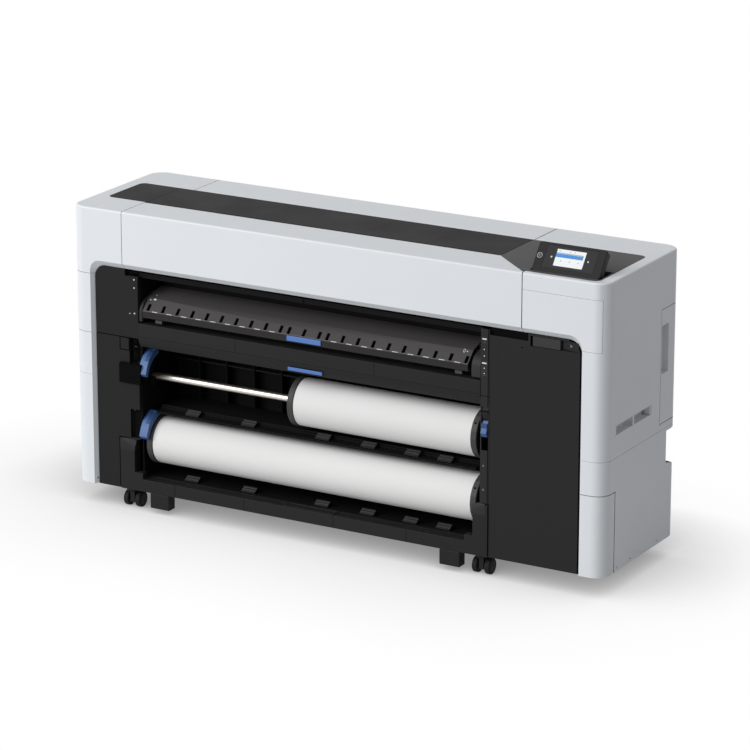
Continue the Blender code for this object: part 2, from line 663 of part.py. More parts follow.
def make_lid():
    """Front cover with its slanted lip, and the dark window behind it, hinged at the window's back."""
    hinge = (0, y_hinge, z_top)
    round_corner = (y_front + TOP_EDGE_RADIUS, z_top - TOP_EDGE_RADIUS)
    path = [(y_window, z_top)] + arc(round_corner, TOP_EDGE_RADIUS, 90, 180, 3)
    path += [(y_front, z_lip + LIP_CHAMFER), (y_front + REVEAL_DEPTH, z_lip)]
    lid = extrusion("front_cover", shell(path, WALL), "X", (x_lid_left, x_lid_right), "white", hinge)
    y_diagonal = y_front + TRAY_DIAGONAL_REAR
    y_end = y_front + 3 * WALL
    corner = [(x_tray, y_window + CUT), (x_tray, y_diagonal), (x_tray + TRAY_DIAGONAL_WIDTH, y_end)]
    corner += [(x_lid_right + CUT, y_end), (x_lid_right + CUT, y_window + CUT)]
    cut(lid, extrusion("lid_corner", corner, "Z", (z_top - 2 * WALL, z_top + CUT)))
    window_y = (y_window + TOUCH, y_hinge)
    box("cover_window", (x_lid_left, x_tray), window_y, (z_top - WALL, z_top), "dark", hinge)


def make_rear():
    """Top rear cover and back panel with an opening for the mains inlet."""
    path = [(y_hinge + SEAM, z_top)]
    round_corner = (y_back - TOP_EDGE_RADIUS, z_top - TOP_EDGE_RADIUS)
    path += arc(round_corner, TOP_EDGE_RADIUS, 90, 0, 3) + [(y_back, z_top - REAR_COVER_DROP)]
    extrusion("top_rear_cover", shell(path, -WALL), "X", (x_rear_left, x_rear_right), "white")
    outline = rectangle((x_rear_left, x_rear_right), (z_low, z_top - REAR_COVER_DROP - SEAM))
    hole = rectangle(*inlet_span(INLET_RIM + TOUCH))
    extrusion("rear_panel", outline, "Y", (y_back - WALL, y_back), "white", holes=[hole])


def inlet_span(margin):
    """The mains inlet's X and Z ranges, grown by a margin."""
    x = electronics_x[1] - INLET_WIDTH
    z = electronics_z[0] + INLET_HEIGHT
    half = (INLET_WIDTH / 2 + margin, INLET_HEIGHT / 2 + margin)
    return (x - half[0], x + half[0]), (z - half[1], z + half[1])


electronics_x = (x_bay_right - ELECTRONICS_WIDTH, x_bay_right)
electronics_z = (z_base + ELECTRONICS_RISE, z_base + ELECTRONICS_RISE + ELECTRONICS_HEIGHT)


def make_electronics():
    """Power supply and main board in one box on the back panel, its inlet reaching through the panel."""
    face = y_back - WALL - TOUCH
    unit = box("electronics_box", electronics_x, (face - ELECTRONICS_DEPTH, face), electronics_z, "painted")
    rim_x, rim_z = inlet_span(INLET_RIM)
    join(unit, box("inlet_rim", rim_x, (face - WALL, y_back), rim_z))
    socket_x, socket_z = inlet_span(0)
    cut(unit, box("inlet_socket", socket_x, (y_back - INLET_DEPTH, y_back + CUT), socket_z))


# Control panel

panel_up = Vector((cos(PANEL_ANGLE), sin(PANEL_ANGLE)))
panel_out = Vector((-sin(PANEL_ANGLE), cos(PANEL_ANGLE)))
panel_edge = Vector((y_front + PANEL_SETBACK, z_top + PANEL_RISE))
x_control = x_lid_right + PANEL_LID_GAP
control_axis = panel_edge + panel_up * PANEL_AXIS_UP - panel_out * PANEL_AXIS_IN


def on_panel(up, out):
    """A point of the panel's side view: up its slope and out of its face."""
    point = panel_edge + panel_up * up + panel_out * out
    return (point.x, point.y)


def make_tray():
    """Dark top plate with a pocket that the control panel folds into."""
    y_tray = y_front + TRAY_FRONT
    y_diagonal = y_front + TRAY_DIAGONAL_REAR
    slope = TRAY_DIAGONAL_WIDTH / (TRAY_DIAGONAL_REAR - 3 * WALL)
    x_diagonal = x_tray + slope * (y_diagonal - y_tray)
    centre = x_tray_right - TRAY_CORNER_RADIUS
    outline = [(x_tray + SEAM, y_hinge), (x_tray + SEAM, y_diagonal + SEAM)]
    outline += [(x_diagonal + 2 * SEAM, y_tray)]
    outline += arc((centre, y_tray + TRAY_CORNER_RADIUS), TRAY_CORNER_RADIUS, -90, 0, 4)
    outline += arc((centre, y_hinge - TRAY_CORNER_RADIUS), TRAY_CORNER_RADIUS, 0, 90, 4)
    tray = extrusion("panel_tray", outline, "Z", (z_top - WALL, z_top), "tray")
    pocket_x = (x_control - POCKET_SIDE_GAP, x_control + PANEL_WIDTH + POCKET_SIDE_GAP)
    pocket_y = (y_front + POCKET_FRONT, y_front + POCKET_FRONT + POCKET_LENGTH)
    tub_x = (pocket_x[0] - SHEET, pocket_x[1] + SHEET)
    tub_y = (pocket_y[0] - SHEET, pocket_y[1] + SHEET)
    join(tray, box("pocket_tub", tub_x, tub_y, (z_top - POCKET_DEPTH - SHEET, z_top - WALL / 2)))
    cut(tray, box("pocket", pocket_x, pocket_y, (z_top - POCKET_DEPTH, z_top + CUT)))


def make_control_panel():
    """Tilting housing with hinge pins, the screen glass in its face and the power button."""
    origin = (x_control, control_axis.x, control_axis.y)
    edge = PANEL_EDGE_RADIUS
    outline = [on_panel(edge, 0), on_panel(PANEL_SLANT - edge, 0), on_panel(PANEL_SLANT, -edge)]
    outline += [on_panel(PANEL_SLANT, edge - PANEL_THICKNESS)]
    outline += [on_panel(PANEL_SLANT - edge, -PANEL_THICKNESS)]
    outline += [on_panel(edge, -PANEL_THICKNESS), on_panel(0, edge - PANEL_THICKNESS), on_panel(0, -edge)]
    span = (x_control, x_control + PANEL_WIDTH)
    housing = extrusion("control_panel", outline, "X", span, "black", origin)
    reach = POCKET_SIDE_GAP - TOUCH
    pin = [(0, PANEL_WIDTH + reach), (PANEL_PIN_RADIUS, PANEL_WIDTH + reach)]
    pin += [(PANEL_PIN_RADIUS, -reach), (0, -reach)]
    join(housing, turned("control_panel_pin", pin, "X", origin, steps=SMALL_STEPS))

    glass_up = (GLASS_LOW, GLASS_LOW + GLASS_HEIGHT)
    glass_x = (x_control + GLASS_LEFT, x_control + GLASS_LEFT + GLASS_WIDTH)
    recess_up = (glass_up[0] - TOUCH, glass_up[1] + TOUCH)
    recess = [on_panel(recess_up[0], -GLASS_THICKNESS - TOUCH), on_panel(recess_up[0], CUT)]
    recess += [on_panel(recess_up[1], CUT), on_panel(recess_up[1], -GLASS_THICKNESS - TOUCH)]
    cut(housing, extrusion("glass_recess", recess, "X", (glass_x[0] - TOUCH, glass_x[1] + TOUCH)))
    plate = [on_panel(glass_up[0], -GLASS_THICKNESS), on_panel(glass_up[0], 0)]
    plate += [on_panel(glass_up[1], 0), on_panel(glass_up[1], -GLASS_THICKNESS)]
    extrusion("panel_screen", plate, "X", glass_x, "glass", origin)

    foot = on_panel(PANEL_SLANT / 2, BUTTON_PROUD - BUTTON_LENGTH)
    place = Matrix.Translation((x_control + BUTTON_LEFT, *foot)) @ Matrix.Rotation(PANEL_ANGLE, 4, "X")
    cap = [(0, BUTTON_LENGTH), (BUTTON_RADIUS, BUTTON_LENGTH), (BUTTON_RADIUS, 0), (0, 0)]
    button = turned("power_button", cap, "Z", (0, 0, 0), "tray", SMALL_STEPS)
    button.matrix_world = place
    hole_radius = BUTTON_RADIUS + BUTTON_CLEARANCE
    hole_low = BUTTON_LENGTH - BUTTON_PROUD - BUTTON_HOLE_DEPTH
    hole = [(0, BUTTON_LENGTH + CUT), (hole_radius, BUTTON_LENGTH + CUT)]
    hole += [(hole_radius, hole_low), (0, hole_low)]
    hole_tool = turned("button_hole", hole, "Z", (0, 0, 0), steps=SMALL_STEPS)
    hole_tool.matrix_world = place
    cut(housing, hole_tool)


# Black fronts and the frame behind them

def plate_outline(y_start, z_start):
    """Side plate: low in front of the print unit, high under the carriage rail."""
    y_step = y_rail - BELT_ZONE / 2
    y_end = y_front + PLATE_DEPTH
    outline = [(y_start, z_start), (y_end, z_start), (y_end, z_rail - TOUCH)]
    outline += [(y_step, z_rail - TOUCH), (y_step, z_print), (y_plate, z_print)]
    return outline


feed_axis = (y_front + FEED_SETBACK, z_print - FEED_RADIUS)


def add_cradles(plate, x_span, side):
    """Open rests for both spindles, joined to a side plate."""
    levels = {"upper": z_upper_roll, "lower": z_lower_roll}
    for level, height in levels.items():
        y_span = (y_roll - CRADLE_WIDTH / 2, y_roll + CRADLE_WIDTH / 2)
        seat_radius = spindle_radius + TOUCH
        outline = [(y_span[0], height), (y_span[0], height - CRADLE_DEPTH)]
        outline += [(y_span[1], height - CRADLE_DEPTH), (y_span[1], height)]
        outline += arc((y_roll, height), seat_radius, 0, -180, 10)
        join(plate, extrusion(f"{side}_{level}_cradle", outline, "X", x_span))


def make_frame():
    """Hollow steel base and the left side plate; the right one is part of the right column."""
    x_span = (x_left + WALL + TOUCH, x_right - WALL - TOUCH)
    y_span = (y_base, y_back - REAR_CORNER_RADIUS)
    inside = rectangle((y_span[0] + SHEET, y_span[1] - SHEET), (z_low + SHEET, z_base - SHEET))
    outline = rectangle(y_span, (z_low, z_base))
    base = extrusion("base_frame", outline, "X", x_span, "painted", holes=[inside])
    journal = circle(feed_axis, FEED_JOURNAL_RADIUS + TOUCH)
    outline = plate_outline(y_plate, z_base + TOUCH)
    plate_x = (x_bay_left - FRAME_SHEET, x_bay_left)
    plate = extrusion("left_frame_plate", outline, "X", plate_x, "painted", holes=[journal])
    add_cradles(plate, (x_bay_left - FRAME_SHEET / 2, x_bay_left + CRADLE_LENGTH), "left")
    return base


def make_left_fronts():
    """Upper and lower black panels left of the roll bay."""
    z_split = z_crease - LEFT_SPLIT_DROP
    x_step = x_bay_left - LEFT_PANEL_STEP
    z_edge = z_lip - SEAM
    outline = [(x_panel, z_split), (x_bay_left, z_split), (x_bay_left, z_edge - LEFT_PANEL_STEP_DROP)]
    outline += [(x_step, z_edge - LEFT_PANEL_STEP_DROP), (x_step, z_edge)]
    corner = (x_panel + INNER_CORNER_RADIUS, z_edge - INNER_CORNER_RADIUS)
    outline += arc(corner, INNER_CORNER_RADIUS, 90, 180)
    depth = (y_panel, y_panel_back)
    extrusion("left_front_panel", outline, "Y", depth, "black")
    x_bracket = x_bay_left - BRACKET_LEFT_WIDTH - SEAM
    x_corner = x_bay_left - LEVER_NOTCH_INSET
    notch_low = z_upper_roll - LEVER_NOTCH_RISE
    notch_z = (notch_low, notch_low + LEVER_NOTCH_HEIGHT)
    outline = [(x_panel, z_low), (x_bracket, z_low), (x_bracket, z_bracket + SEAM)]
    outline += [(x_bay_left, z_bracket + SEAM), (x_bay_left, notch_z[1]), (x_corner, notch_z[1])]
    outline += [(x_corner, z_split - SEAM), (x_panel, z_split - SEAM)]
    panel = extrusion("left_lower_panel", outline, "Y", depth, "black")
    notch_y = (y_panel - CUT, y_panel + LEVER_NOTCH_DEPTH)
    notch_x = (x_bay_left - LEVER_NOTCH_WIDTH, x_bay_left + CUT)
    cut(panel, box("upper_lever_notch", notch_x, notch_y, notch_z))
    low_z = (z_bracket + SEAM + WALL, z_lower_roll + LOWER_NOTCH_HEIGHT)
    cut(panel, box("lower_lever_notch", (x_corner, x_bay_left + CUT), notch_y, low_z))


def make_right_column():
    """Black front strip right of the bay, in one piece with the right side plate."""
    outline = plate_outline(y_base, z_base + TOUCH)
    outline += [(y_plate, z_lip - 2 * WALL), (y_panel, z_lip - 2 * WALL)]
    outline += [(y_panel, z_bracket + SEAM), (y_base, z_bracket + SEAM)]
    journal = circle(feed_axis, FEED_JOURNAL_RADIUS + TOUCH)
    plate_x = (x_bay_right, x_bay_right + FRAME_SHEET)
    column = extrusion("right_column", outline, "X", plate_x, "black", holes=[journal])
    strip_y = (y_panel, y_panel + PANEL_DEPTH / 2)
    strip_z = (z_bracket + SEAM, z_lip - 2 * WALL)
    join(column, box("column_strip", (x_bay_right, x_column_right), strip_y, strip_z))
    slot_x = (x_bay_right + FRAME_SHEET, x_bay_right + FRAME_SHEET + RIGHT_LEVER_WIDTH + 4 * TOUCH)
    slot_z = (z_upper_roll - LEVER_SLOT_FALL, z_upper_roll + LEVER_SLOT_RISE)
    cut(column, box("lever_slot", slot_x, (y_panel - CUT, strip_y[1] + CUT), slot_z))
    add_cradles(column, (x_bay_right - CRADLE_LENGTH, x_bay_right + FRAME_SHEET / 2), "right")


def make_ink_door():
    """Door over the ink cartridges, hinged at its left edge, with a finger pull at its upper right."""
    hinge = (x_door, y_panel, z_low)
    corner = (x_door_right - DOOR_CORNER_RADIUS, z_lip - SEAM - DOOR_CORNER_RADIUS)
    outline = [(x_door, z_low), (x_door_right, z_low)]
    outline += arc(corner, DOOR_CORNER_RADIUS, 0, 90) + [(x_door, z_lip - SEAM)]
    depth = (y_panel, y_panel + DOOR_THICKNESS)
    door = extrusion("ink_door", outline, "Y", depth, "black", hinge)
    pull_x = (x_door_right - DOOR_PULL_EDGE - DOOR_PULL_WIDTH, x_door_right - DOOR_PULL_EDGE)
    pull_top = z_lip - SEAM - DOOR_PULL_EDGE
    pull_y = (y_panel - CUT, y_panel + DOOR_PULL_DEPTH)
    radius = DOOR_CORNER_RADIUS - DOOR_PULL_EDGE
    centre = (pull_x[1] - radius, pull_top - radius)
    pull_low = pull_top - DOOR_PULL_HEIGHT
    pull = [(pull_x[0], pull_low), (centre[0] + radius * 0.9, pull_low)]
    pull += arc(centre, radius, 30, 90, 4) + [(pull_x[0], pull_top)]
    cut(door, extrusion("door_pull", pull, "Y", pull_y))


def make_front_beam():
    """Front of the lower roll unit: a beam with a bracket at each end, the right one thin at the flange."""
    x_out = (x_bay_left - BRACKET_LEFT_WIDTH, x_column_right - SEAM)
    x_in = (x_bay_left - BRACKET_LEFT_GAP, x_bay_right - BRACKET_RIGHT_INSET)
    outline = [(x_out[0], z_low), (x_out[1], z_low), (x_out[1], z_bracket)]
    outline += [(x_in[1], z_bracket - BRACKET_CHAMFER), (x_in[1], z_base), (x_in[0], z_base)]
    outline += [(x_in[0], z_bracket - BRACKET_CHAMFER), (x_out[0], z_bracket)]
    beam = extrusion("lower_front_beam", outline, "Y", (y_front + BRACKET_SETBACK, y_base - TOUCH), "black")
    room_x = (x_in[1] - CUT, x_bay_right - FLANGE_SIDE_GAP + BRACKET_FLANGE_GAP)
    room_y = (y_roll - flange_radius - BRACKET_FLANGE_GAP, y_base + CUT)
    cut(beam, box("flange_room", room_x, room_y, (z_base + WALL, z_bracket + CUT)))


# Roll bay

bay_x = (x_bay_left + TOUCH, x_bay_right - TOUCH)


def make_bay():
    """Ribbed back wall, shelf under the upper roll, beam above it and the guide flap on the beam."""
    y_rib = y_wall - RIB_DEPTH
    pitch = (bay_x[1] - bay_x[0]) / (RIB_COUNT + 1)
    outline = [(bay_x[1], y_wall + WALL), (bay_x[0], y_wall + WALL), (bay_x[0], y_wall)]
    for index in range(RIB_COUNT):
        start = bay_x[0] + pitch * (index + 1) - RIB_WIDTH / 2
        outline += [(start, y_wall), (start, y_rib), (start + RIB_WIDTH, y_rib), (start + RIB_WIDTH, y_wall)]
    outline += [(bay_x[1], y_wall)]
    extrusion("bay_back_wall", outline, "Z", (z_base + TOUCH, z_beam), "black")

    shelf_x = (x_bay_left + SHELF_SIDE_GAP, x_bay_right - SHELF_SIDE_GAP)
    z_shelf = z_upper_roll - roll_radius - SHELF_GAP
    y_shelf = (y_front + SHELF_FRONT, y_rib - TOUCH)
    outline = [(y_shelf[0], z_shelf - SHELF_SLOPE), (y_shelf[1], z_shelf)]
    outline += [(y_shelf[1], z_shelf - SHELF_SHEET)]
    outline += [(y_shelf[0], z_shelf - SHELF_SLOPE - SHELF_SHEET)]
    extrusion("roll_shelf", outline, "X", shelf_x, "black")

    y_beam = y_front + BEAM_SETBACK
    path = [(y_beam + BEAM_DEPTH, z_beam), (y_beam, z_beam), (y_beam, z_crease + TOUCH)]
    extrusion("roll_cover_beam", shell(path, BEAM_SHEET), "X", bay_x, "black")
    path = [(y_beam, z_crease), (y_beam, z_crease - BEAM_SHEET)]
    path += [(y_beam + FLAP_CURL / 4, z_crease - FLAP_HEIGHT / 2), (y_beam + FLAP_CURL, z_flap)]
    hinge = (0, y_beam, z_crease)
    extrusion("roll_guide_flap", shell(path, BEAM_SHEET), "X", bay_x, "black", hinge)


def make_output_guide():
    """Slotted guide that the print slides down, lifting on a hinge line along its back edge."""
    y_edge = y_front + GUIDE_SETBACK
    hinge = (0, y_edge + GUIDE_LENGTH, z_guide + GUIDE_RISE)
    crease = Vector((y_edge + GUIDE_BAND_DEPTH, z_guide + GUIDE_BAND_RISE))
    edge = Vector((y_edge, z_guide))
    z_fold = z_guide - GUIDE_LIP_DROP
    path = [hinge[1:], tuple(crease), tuple(edge), (y_edge, z_fold)]
    path += [(y_edge + GUIDE_LIP_RETURN, z_fold - GUIDE_LIP_FALL)]
    guide = extrusion("output_guide", shell(path, GUIDE_SHEET), "X", bay_x, "guide", hinge)
    along = (crease - edge).normalized()
    across = Vector((-along.y, along.x))
    start = edge + along * GUIDE_SLOT_EDGE
    corners = [start - across * CUT, start + across * CUT]
    corners += [corners[1] + along * GUIDE_SLOT_LENGTH, corners[0] + along * GUIDE_SLOT_LENGTH]
    outline = [(corner.x, corner.y) for corner in corners]
    middle = (bay_x[0] + bay_x[1]) / 2 + GUIDE_SLOT_SHIFT
    pair = GUIDE_SLOT_PITCH + GUIDE_SLOT_PAIR
    steps = [GUIDE_SLOT_PITCH] + [pair + GUIDE_SLOT_PITCH * index for index in range(GUIDE_SLOT_ROW)]
    for index, step in enumerate([0] + steps + [-step for step in steps]):
        span = (middle + step - GUIDE_SLOT_WIDTH / 2, middle + step + GUIDE_SLOT_WIDTH / 2)
        cut(guide, extrusion(f"guide_slot_{index}", outline, "X", span))


def make_roll(level, height, paper_width):
    """Spindle with its fixed right flange, the movable left flange and the paper between them."""
    centre = (0, y_roll, height)
    x_end = x_bay_right - FLANGE_SIDE_GAP
    x_paper = x_end - FLANGE_THICKNESS - TOUCH
    x_start = x_paper - paper_width
    hub = core_radius - TOUCH
    x_rod = (x_bay_left + SPINDLE_END_GAP, x_bay_right - SPINDLE_END_GAP)
    profile = [(0, x_rod[1]), (spindle_radius, x_rod[1]), (spindle_radius, x_end), (flange_radius, x_end)]
    profile += [(flange_radius, x_end - FLANGE_THICKNESS), (hub, x_end - FLANGE_THICKNESS)]
    profile += [(hub, x_paper - HUB_LENGTH), (spindle_radius, x_paper - HUB_LENGTH)]
    profile += [(spindle_radius, x_rod[0]), (0, x_rod[0])]
    turned(f"{level}_spindle", profile, "X", centre, "steel")

    x_flange = x_start - TOUCH
    bore = spindle_radius + TOUCH
    profile = [(bore, x_start + HUB_LENGTH), (hub, x_start + HUB_LENGTH)]
    profile += [(hub, x_flange), (flange_radius, x_flange)]
    profile += [(flange_radius, x_flange - FLANGE_THICKNESS), (bore, x_flange - FLANGE_THICKNESS)]
    turned(f"{level}_flange", profile, "X", centre, "black")
    profile = [(core_radius, x_paper), (roll_radius, x_paper)]
    profile += [(roll_radius, x_start), (core_radius, x_start)]
    turned(f"{level}_paper_roll", profile, "X", centre, "paper")


def make_lever(name, x_start, width, height):
    """Lock lever that curves round the flange: pivots at its upper back end, reaches forwards and down."""
    pivot = Vector((y_roll - LEVER_PIVOT_BACK, height + LEVER_PIVOT_RISE))
    reach = Vector((-LEVER_REACH, -LEVER_REACH))
    side = Vector((-reach.y, reach.x)).normalized()
    steps = 8
    upper = []
    lower = []
    for index in range(steps + 1):
        part = index / steps
        middle = pivot + reach * part - side * LEVER_BULGE * sin(pi * part)
        half = LEVER_ROOT + (LEVER_TIP - LEVER_ROOT) * part
        upper.append(tuple(middle + side * half))
        lower.append(tuple(middle - side * half))
    outline = upper + lower[::-1]
    origin = (x_start, pivot.x, pivot.y)
    extrusion(name, outline, "X", (x_start, x_start + width), "blue", origin)


# Print unit

def make_print_unit():
    """Platen, feed roller, cutter rail, carriage rail with its end brackets, carriage, belt and motor."""
    platen_y = (y_front + PLATEN_FRONT, y_front + PLATEN_FRONT + PLATEN_DEPTH)
    box("platen", bay_x, platen_y, (z_print - PLATEN_THICKNESS, z_print), "painted")
    journal_x = (x_bay_left - FRAME_SHEET, x_bay_right + FRAME_SHEET)
    profile = [(0, journal_x[1]), (FEED_JOURNAL_RADIUS, journal_x[1]), (FEED_JOURNAL_RADIUS, bay_x[1])]
    profile += [(FEED_RADIUS, bay_x[1]), (FEED_RADIUS, bay_x[0]), (FEED_JOURNAL_RADIUS, bay_x[0])]
    profile += [(FEED_JOURNAL_RADIUS, journal_x[0]), (0, journal_x[0])]
    turned("feed_roller", profile, "X", (0, *feed_axis), "steel", SMALL_STEPS)
    cutter_y = (y_front + CUTTER_SETBACK, y_front + CUTTER_SETBACK + CUTTER_DEPTH)
    cutter_z = (z_print + TOUCH, z_print + TOUCH + CUTTER_HEIGHT)
    box("cutter_rail", journal_x, cutter_y, cutter_z, "black")

    rail_x = (x_left + RAIL_END_GAP, x_right - RAIL_END_GAP)
    rail_z = (z_rail, z_rail_top)
    rail = box("carriage_rail", rail_x, (y_rail, y_rail + RAIL_DEPTH), rail_z, "aluminium")
    y_belt = y_rail - BELT_ZONE / 2
    pulley_x = (rail_x[0] + PULLEY_INSET, rail_x[1] - PULLEY_INSET)
    bracket_z = (z_rail, z_rail + BRACKET_SHEET)
    bracket_y = (y_belt - BELT_ZONE / 2, y_rail + RAIL_DEPTH / 2)
    for index, middle in enumerate(pulley_x):
        span = (middle - PULLEY_INSET, middle + PULLEY_INSET - TOUCH)
        join(rail, box(f"rail_bracket_{index}", span, bracket_y, bracket_z))
    z_belt = bracket_z[1] + TOUCH
    post_top = z_belt + PULLEY_HEIGHT
    post = [(0, post_top), (PULLEY_RADIUS, post_top), (PULLEY_RADIUS, z_rail + TOUCH), (0, z_rail + TOUCH)]
    join(rail, turned("belt_post", post, "Z", (pulley_x[0], y_belt, 0), steps=SMALL_STEPS))
    hole_radius = SHAFT_RADIUS + TOUCH
    hole = [(0, z_belt + CUT), (hole_radius, z_belt + CUT), (hole_radius, z_rail - CUT), (0, z_rail - CUT)]
    cut(rail, turned("shaft_hole", hole, "Z", (pulley_x[1], y_belt, 0), steps=SMALL_STEPS))

    z_motor = z_rail - TOUCH
    profile = [(0, post_top), (SHAFT_RADIUS, post_top), (SHAFT_RADIUS, z_motor), (MOTOR_RADIUS, z_motor)]
    profile += [(MOTOR_RADIUS, z_motor - MOTOR_HEIGHT), (0, z_motor - MOTOR_HEIGHT)]
    turned("carriage_motor", profile, "Z", (pulley_x[1], y_belt, 0), "painted", SMALL_STEPS)
    profile = [(hole_radius, post_top), (PULLEY_RADIUS, post_top)]
    profile += [(PULLEY_RADIUS, z_belt), (hole_radius, z_belt)]
    turned("drive_pulley", profile, "Z", (pulley_x[1], y_belt, 0), "aluminium", SMALL_STEPS)

    loops = []
    for radius in (PULLEY_RADIUS + TOUCH + BELT_THICKNESS, PULLEY_RADIUS + TOUCH):
        loop = arc((pulley_x[1], y_belt), radius, -90, 90, SMALL_STEPS // 2)
        loops.append(loop + arc((pulley_x[0], y_belt), radius, 90, 270, SMALL_STEPS // 2))
    belt_z = (z_belt + TOUCH, z_belt + TOUCH + BELT_HEIGHT)
    extrusion("carriage_belt", loops[0], "Z", belt_z, "rubber", holes=[loops[1]])

    x_middle = x_lid_right + CARRIAGE_PARK
    body_y = (y_front + CARRIAGE_FRONT, y_rail - BELT_ZONE)
    arm_z = (z_rail_top + TOUCH, z_rail_top + TOUCH + CARRIAGE_ARM)
    outline = [(body_y[0], z_print + CARRIAGE_HEAD_GAP), (body_y[1], z_print + CARRIAGE_HEAD_GAP)]
    outline += [(body_y[1], arm_z[0]), (y_rail + RAIL_DEPTH, arm_z[0]), (y_rail + RAIL_DEPTH, arm_z[1])]
    outline += [(body_y[0], arm_z[1])]
    span = (x_middle - CARRIAGE_WIDTH / 2, x_middle + CARRIAGE_WIDTH / 2)
    extrusion("carriage", outline, "X", span, "black", (x_middle, y_rail, z_rail_top))


# Ink and waste ink

def make_ink():
    """Rack with its cartridges behind the ink door, and the maintenance box in the corner beside it."""
    rack_x = (x_door + RACK_SIDE_GAP, x_door_right - RACK_SIDE_GAP)
    rack_y = (y_front + RACK_SETBACK, y_front + RACK_SETBACK + RACK_DEPTH)
    rack_z = (z_base + TOUCH, z_print - RACK_TOP_GAP)
    rack = box("ink_rack", rack_x, rack_y, rack_z, "painted")
    bay_top = rack_z[1] - RACK_WALL
    bay_low = bay_top - CARTRIDGE_HEIGHT
    pitch = (rack_x[1] - rack_x[0] - RACK_WALL) / CARTRIDGE_COUNT
    bay_y = (rack_y[0] - CUT, rack_y[0] + CARTRIDGE_DEPTH + CARTRIDGE_GAP)
    for index in range(CARTRIDGE_COUNT):
        start = rack_x[0] + RACK_WALL + index * pitch
        bay_span = (start, start + pitch - RACK_WALL)
        cut(rack, box(f"cartridge_bay_{index + 1}", bay_span, bay_y, (bay_low, bay_top)))
        body_x = (bay_span[0] + CARTRIDGE_GAP, bay_span[1] - CARTRIDGE_GAP)
        body_z = (bay_low + TOUCH, bay_top - CARTRIDGE_GAP)
        box(f"ink_cartridge_{index + 1}", body_x, (rack_y[0], rack_y[0] + CARTRIDGE_DEPTH), body_z, "ink")
    store_x = (rack_x[0] + RACK_WALL, rack_x[1] - RACK_WALL)
    store_y = (rack_y[0] - CUT, rack_y[1] - RACK_WALL)
    cut(rack, box("rack_store", store_x, store_y, (rack_z[0] + RACK_WALL, bay_low - RACK_WALL)))

    box_x = (x_right - WALL - BOX_SIDE_GAP - BOX_WIDTH, x_right - WALL - BOX_SIDE_GAP)
    box_y = (y_front + BOX_SETBACK, y_front + BOX_SETBACK + BOX_DEPTH)
    box("maintenance_box", box_x, box_y, (z_base + TOUCH, z_base + TOUCH + BOX_HEIGHT), "ink")


# Castors and feet

def make_castor(name, x, y):
    """Swivel fork with an axle hole, and the pair of wheels on their axle."""
    wheel_radius = WHEEL_DIAMETER / 2
    y_axle = y + CASTOR_TRAIL
    top = z_low - TOUCH
    seat = [(0, top), (SWIVEL_RADIUS, top), (SWIVEL_RADIUS, top - SWIVEL_HEIGHT), (0, top - SWIVEL_HEIGHT)]
    fork = turned(name + "_fork", seat, "Z", (x, y, 0), "black", SMALL_STEPS)
    y_span = (y_axle - FORK_LENGTH / 2, y_axle + FORK_LENGTH / 2)
    hole = circle((y_axle, wheel_radius), AXLE_RADIUS + TOUCH)
    outline = rectangle(y_span, (FORK_LOW, top - SWIVEL_HEIGHT / 2))
    web_x = (x - FORK_WIDTH / 2, x + FORK_WIDTH / 2)
    join(fork, extrusion(name + "_web", outline, "X", web_x, holes=[hole]))
    inner = (WHEEL_SPACING - WHEEL_WIDTH) / 2
    outer = inner + WHEEL_WIDTH
    profile = [(0, outer), (wheel_radius, outer), (wheel_radius, inner), (AXLE_RADIUS, inner)]
    profile += [(AXLE_RADIUS, -inner), (wheel_radius, -inner), (wheel_radius, -outer), (0, -outer)]
    turned(name + "_wheels", profile, "X", (x, y_axle, wheel_radius), "rubber", SMALL_STEPS)


def make_feet():
    """Front feet with rounded toes, under the base and clear of the floor."""
    y_toe = y_front + FOOT_SETBACK
    top = z_low - TOUCH
    sole = FOOT_CLEARANCE
    outline = [(y_toe, top), (y_toe, sole + FOOT_TOE_HEIGHT)]
    for index in range(1, 6):
        turn = pi / 2 * index / 6
        y = y_toe + FOOT_TOE_LENGTH * (1 - cos(turn))
        outline.append((y, sole + FOOT_TOE_HEIGHT * (1 - sin(turn))))
    outline += [(y_toe + FOOT_TOE_LENGTH, sole), (y_toe + FOOT_DEPTH, sole), (y_toe + FOOT_DEPTH, top)]
    places = {"left": x_bay_left + FOOT_LEFT_INSET, "right": x_bay_right - FOOT_RIGHT_INSET}
    for side, middle in places.items():
        span = (middle - FOOT_WIDTH / 2, middle + FOOT_WIDTH / 2)
        extrusion(f"{side}_foot", outline, "X", span, "black")


make_left_covers()
make_right_covers()
make_lid()
make_rear()
make_electronics()
make_tray()
make_control_panel()
make_frame()
make_left_fronts()
make_right_column()
make_ink_door()
make_front_beam()
make_bay()
make_output_guide()
make_roll("lower", z_lower_roll, LOWER_PAPER_WIDTH)
make_roll("upper", z_upper_roll, UPPER_PAPER_WIDTH)
make_lever("left_upper_lever", x_bay_left + TOUCH, LEVER_WIDTH, z_upper_roll)
make_lever("left_lower_lever", x_bay_left + TOUCH, LEVER_WIDTH, z_lower_roll)
make_lever("right_upper_lever", x_bay_right + FRAME_SHEET + TOUCH, RIGHT_LEVER_WIDTH, z_upper_roll)
make_print_unit()
make_ink()
x_castors = (("left", x_bay_left - CASTOR_LEFT_OUTSET), ("right", x_bay_right - CASTOR_RIGHT_INSET))
for side, x_castor in x_castors:
    make_castor(f"{side}_front_castor", x_castor, y_front + CASTOR_FRONT)
    make_castor(f"{side}_rear_castor", x_castor, y_back - CASTOR_REAR)
make_feet()
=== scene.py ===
import json
from math import cos, hypot, pi, radians, sin

import bpy
from mathutils import Matrix, Vector

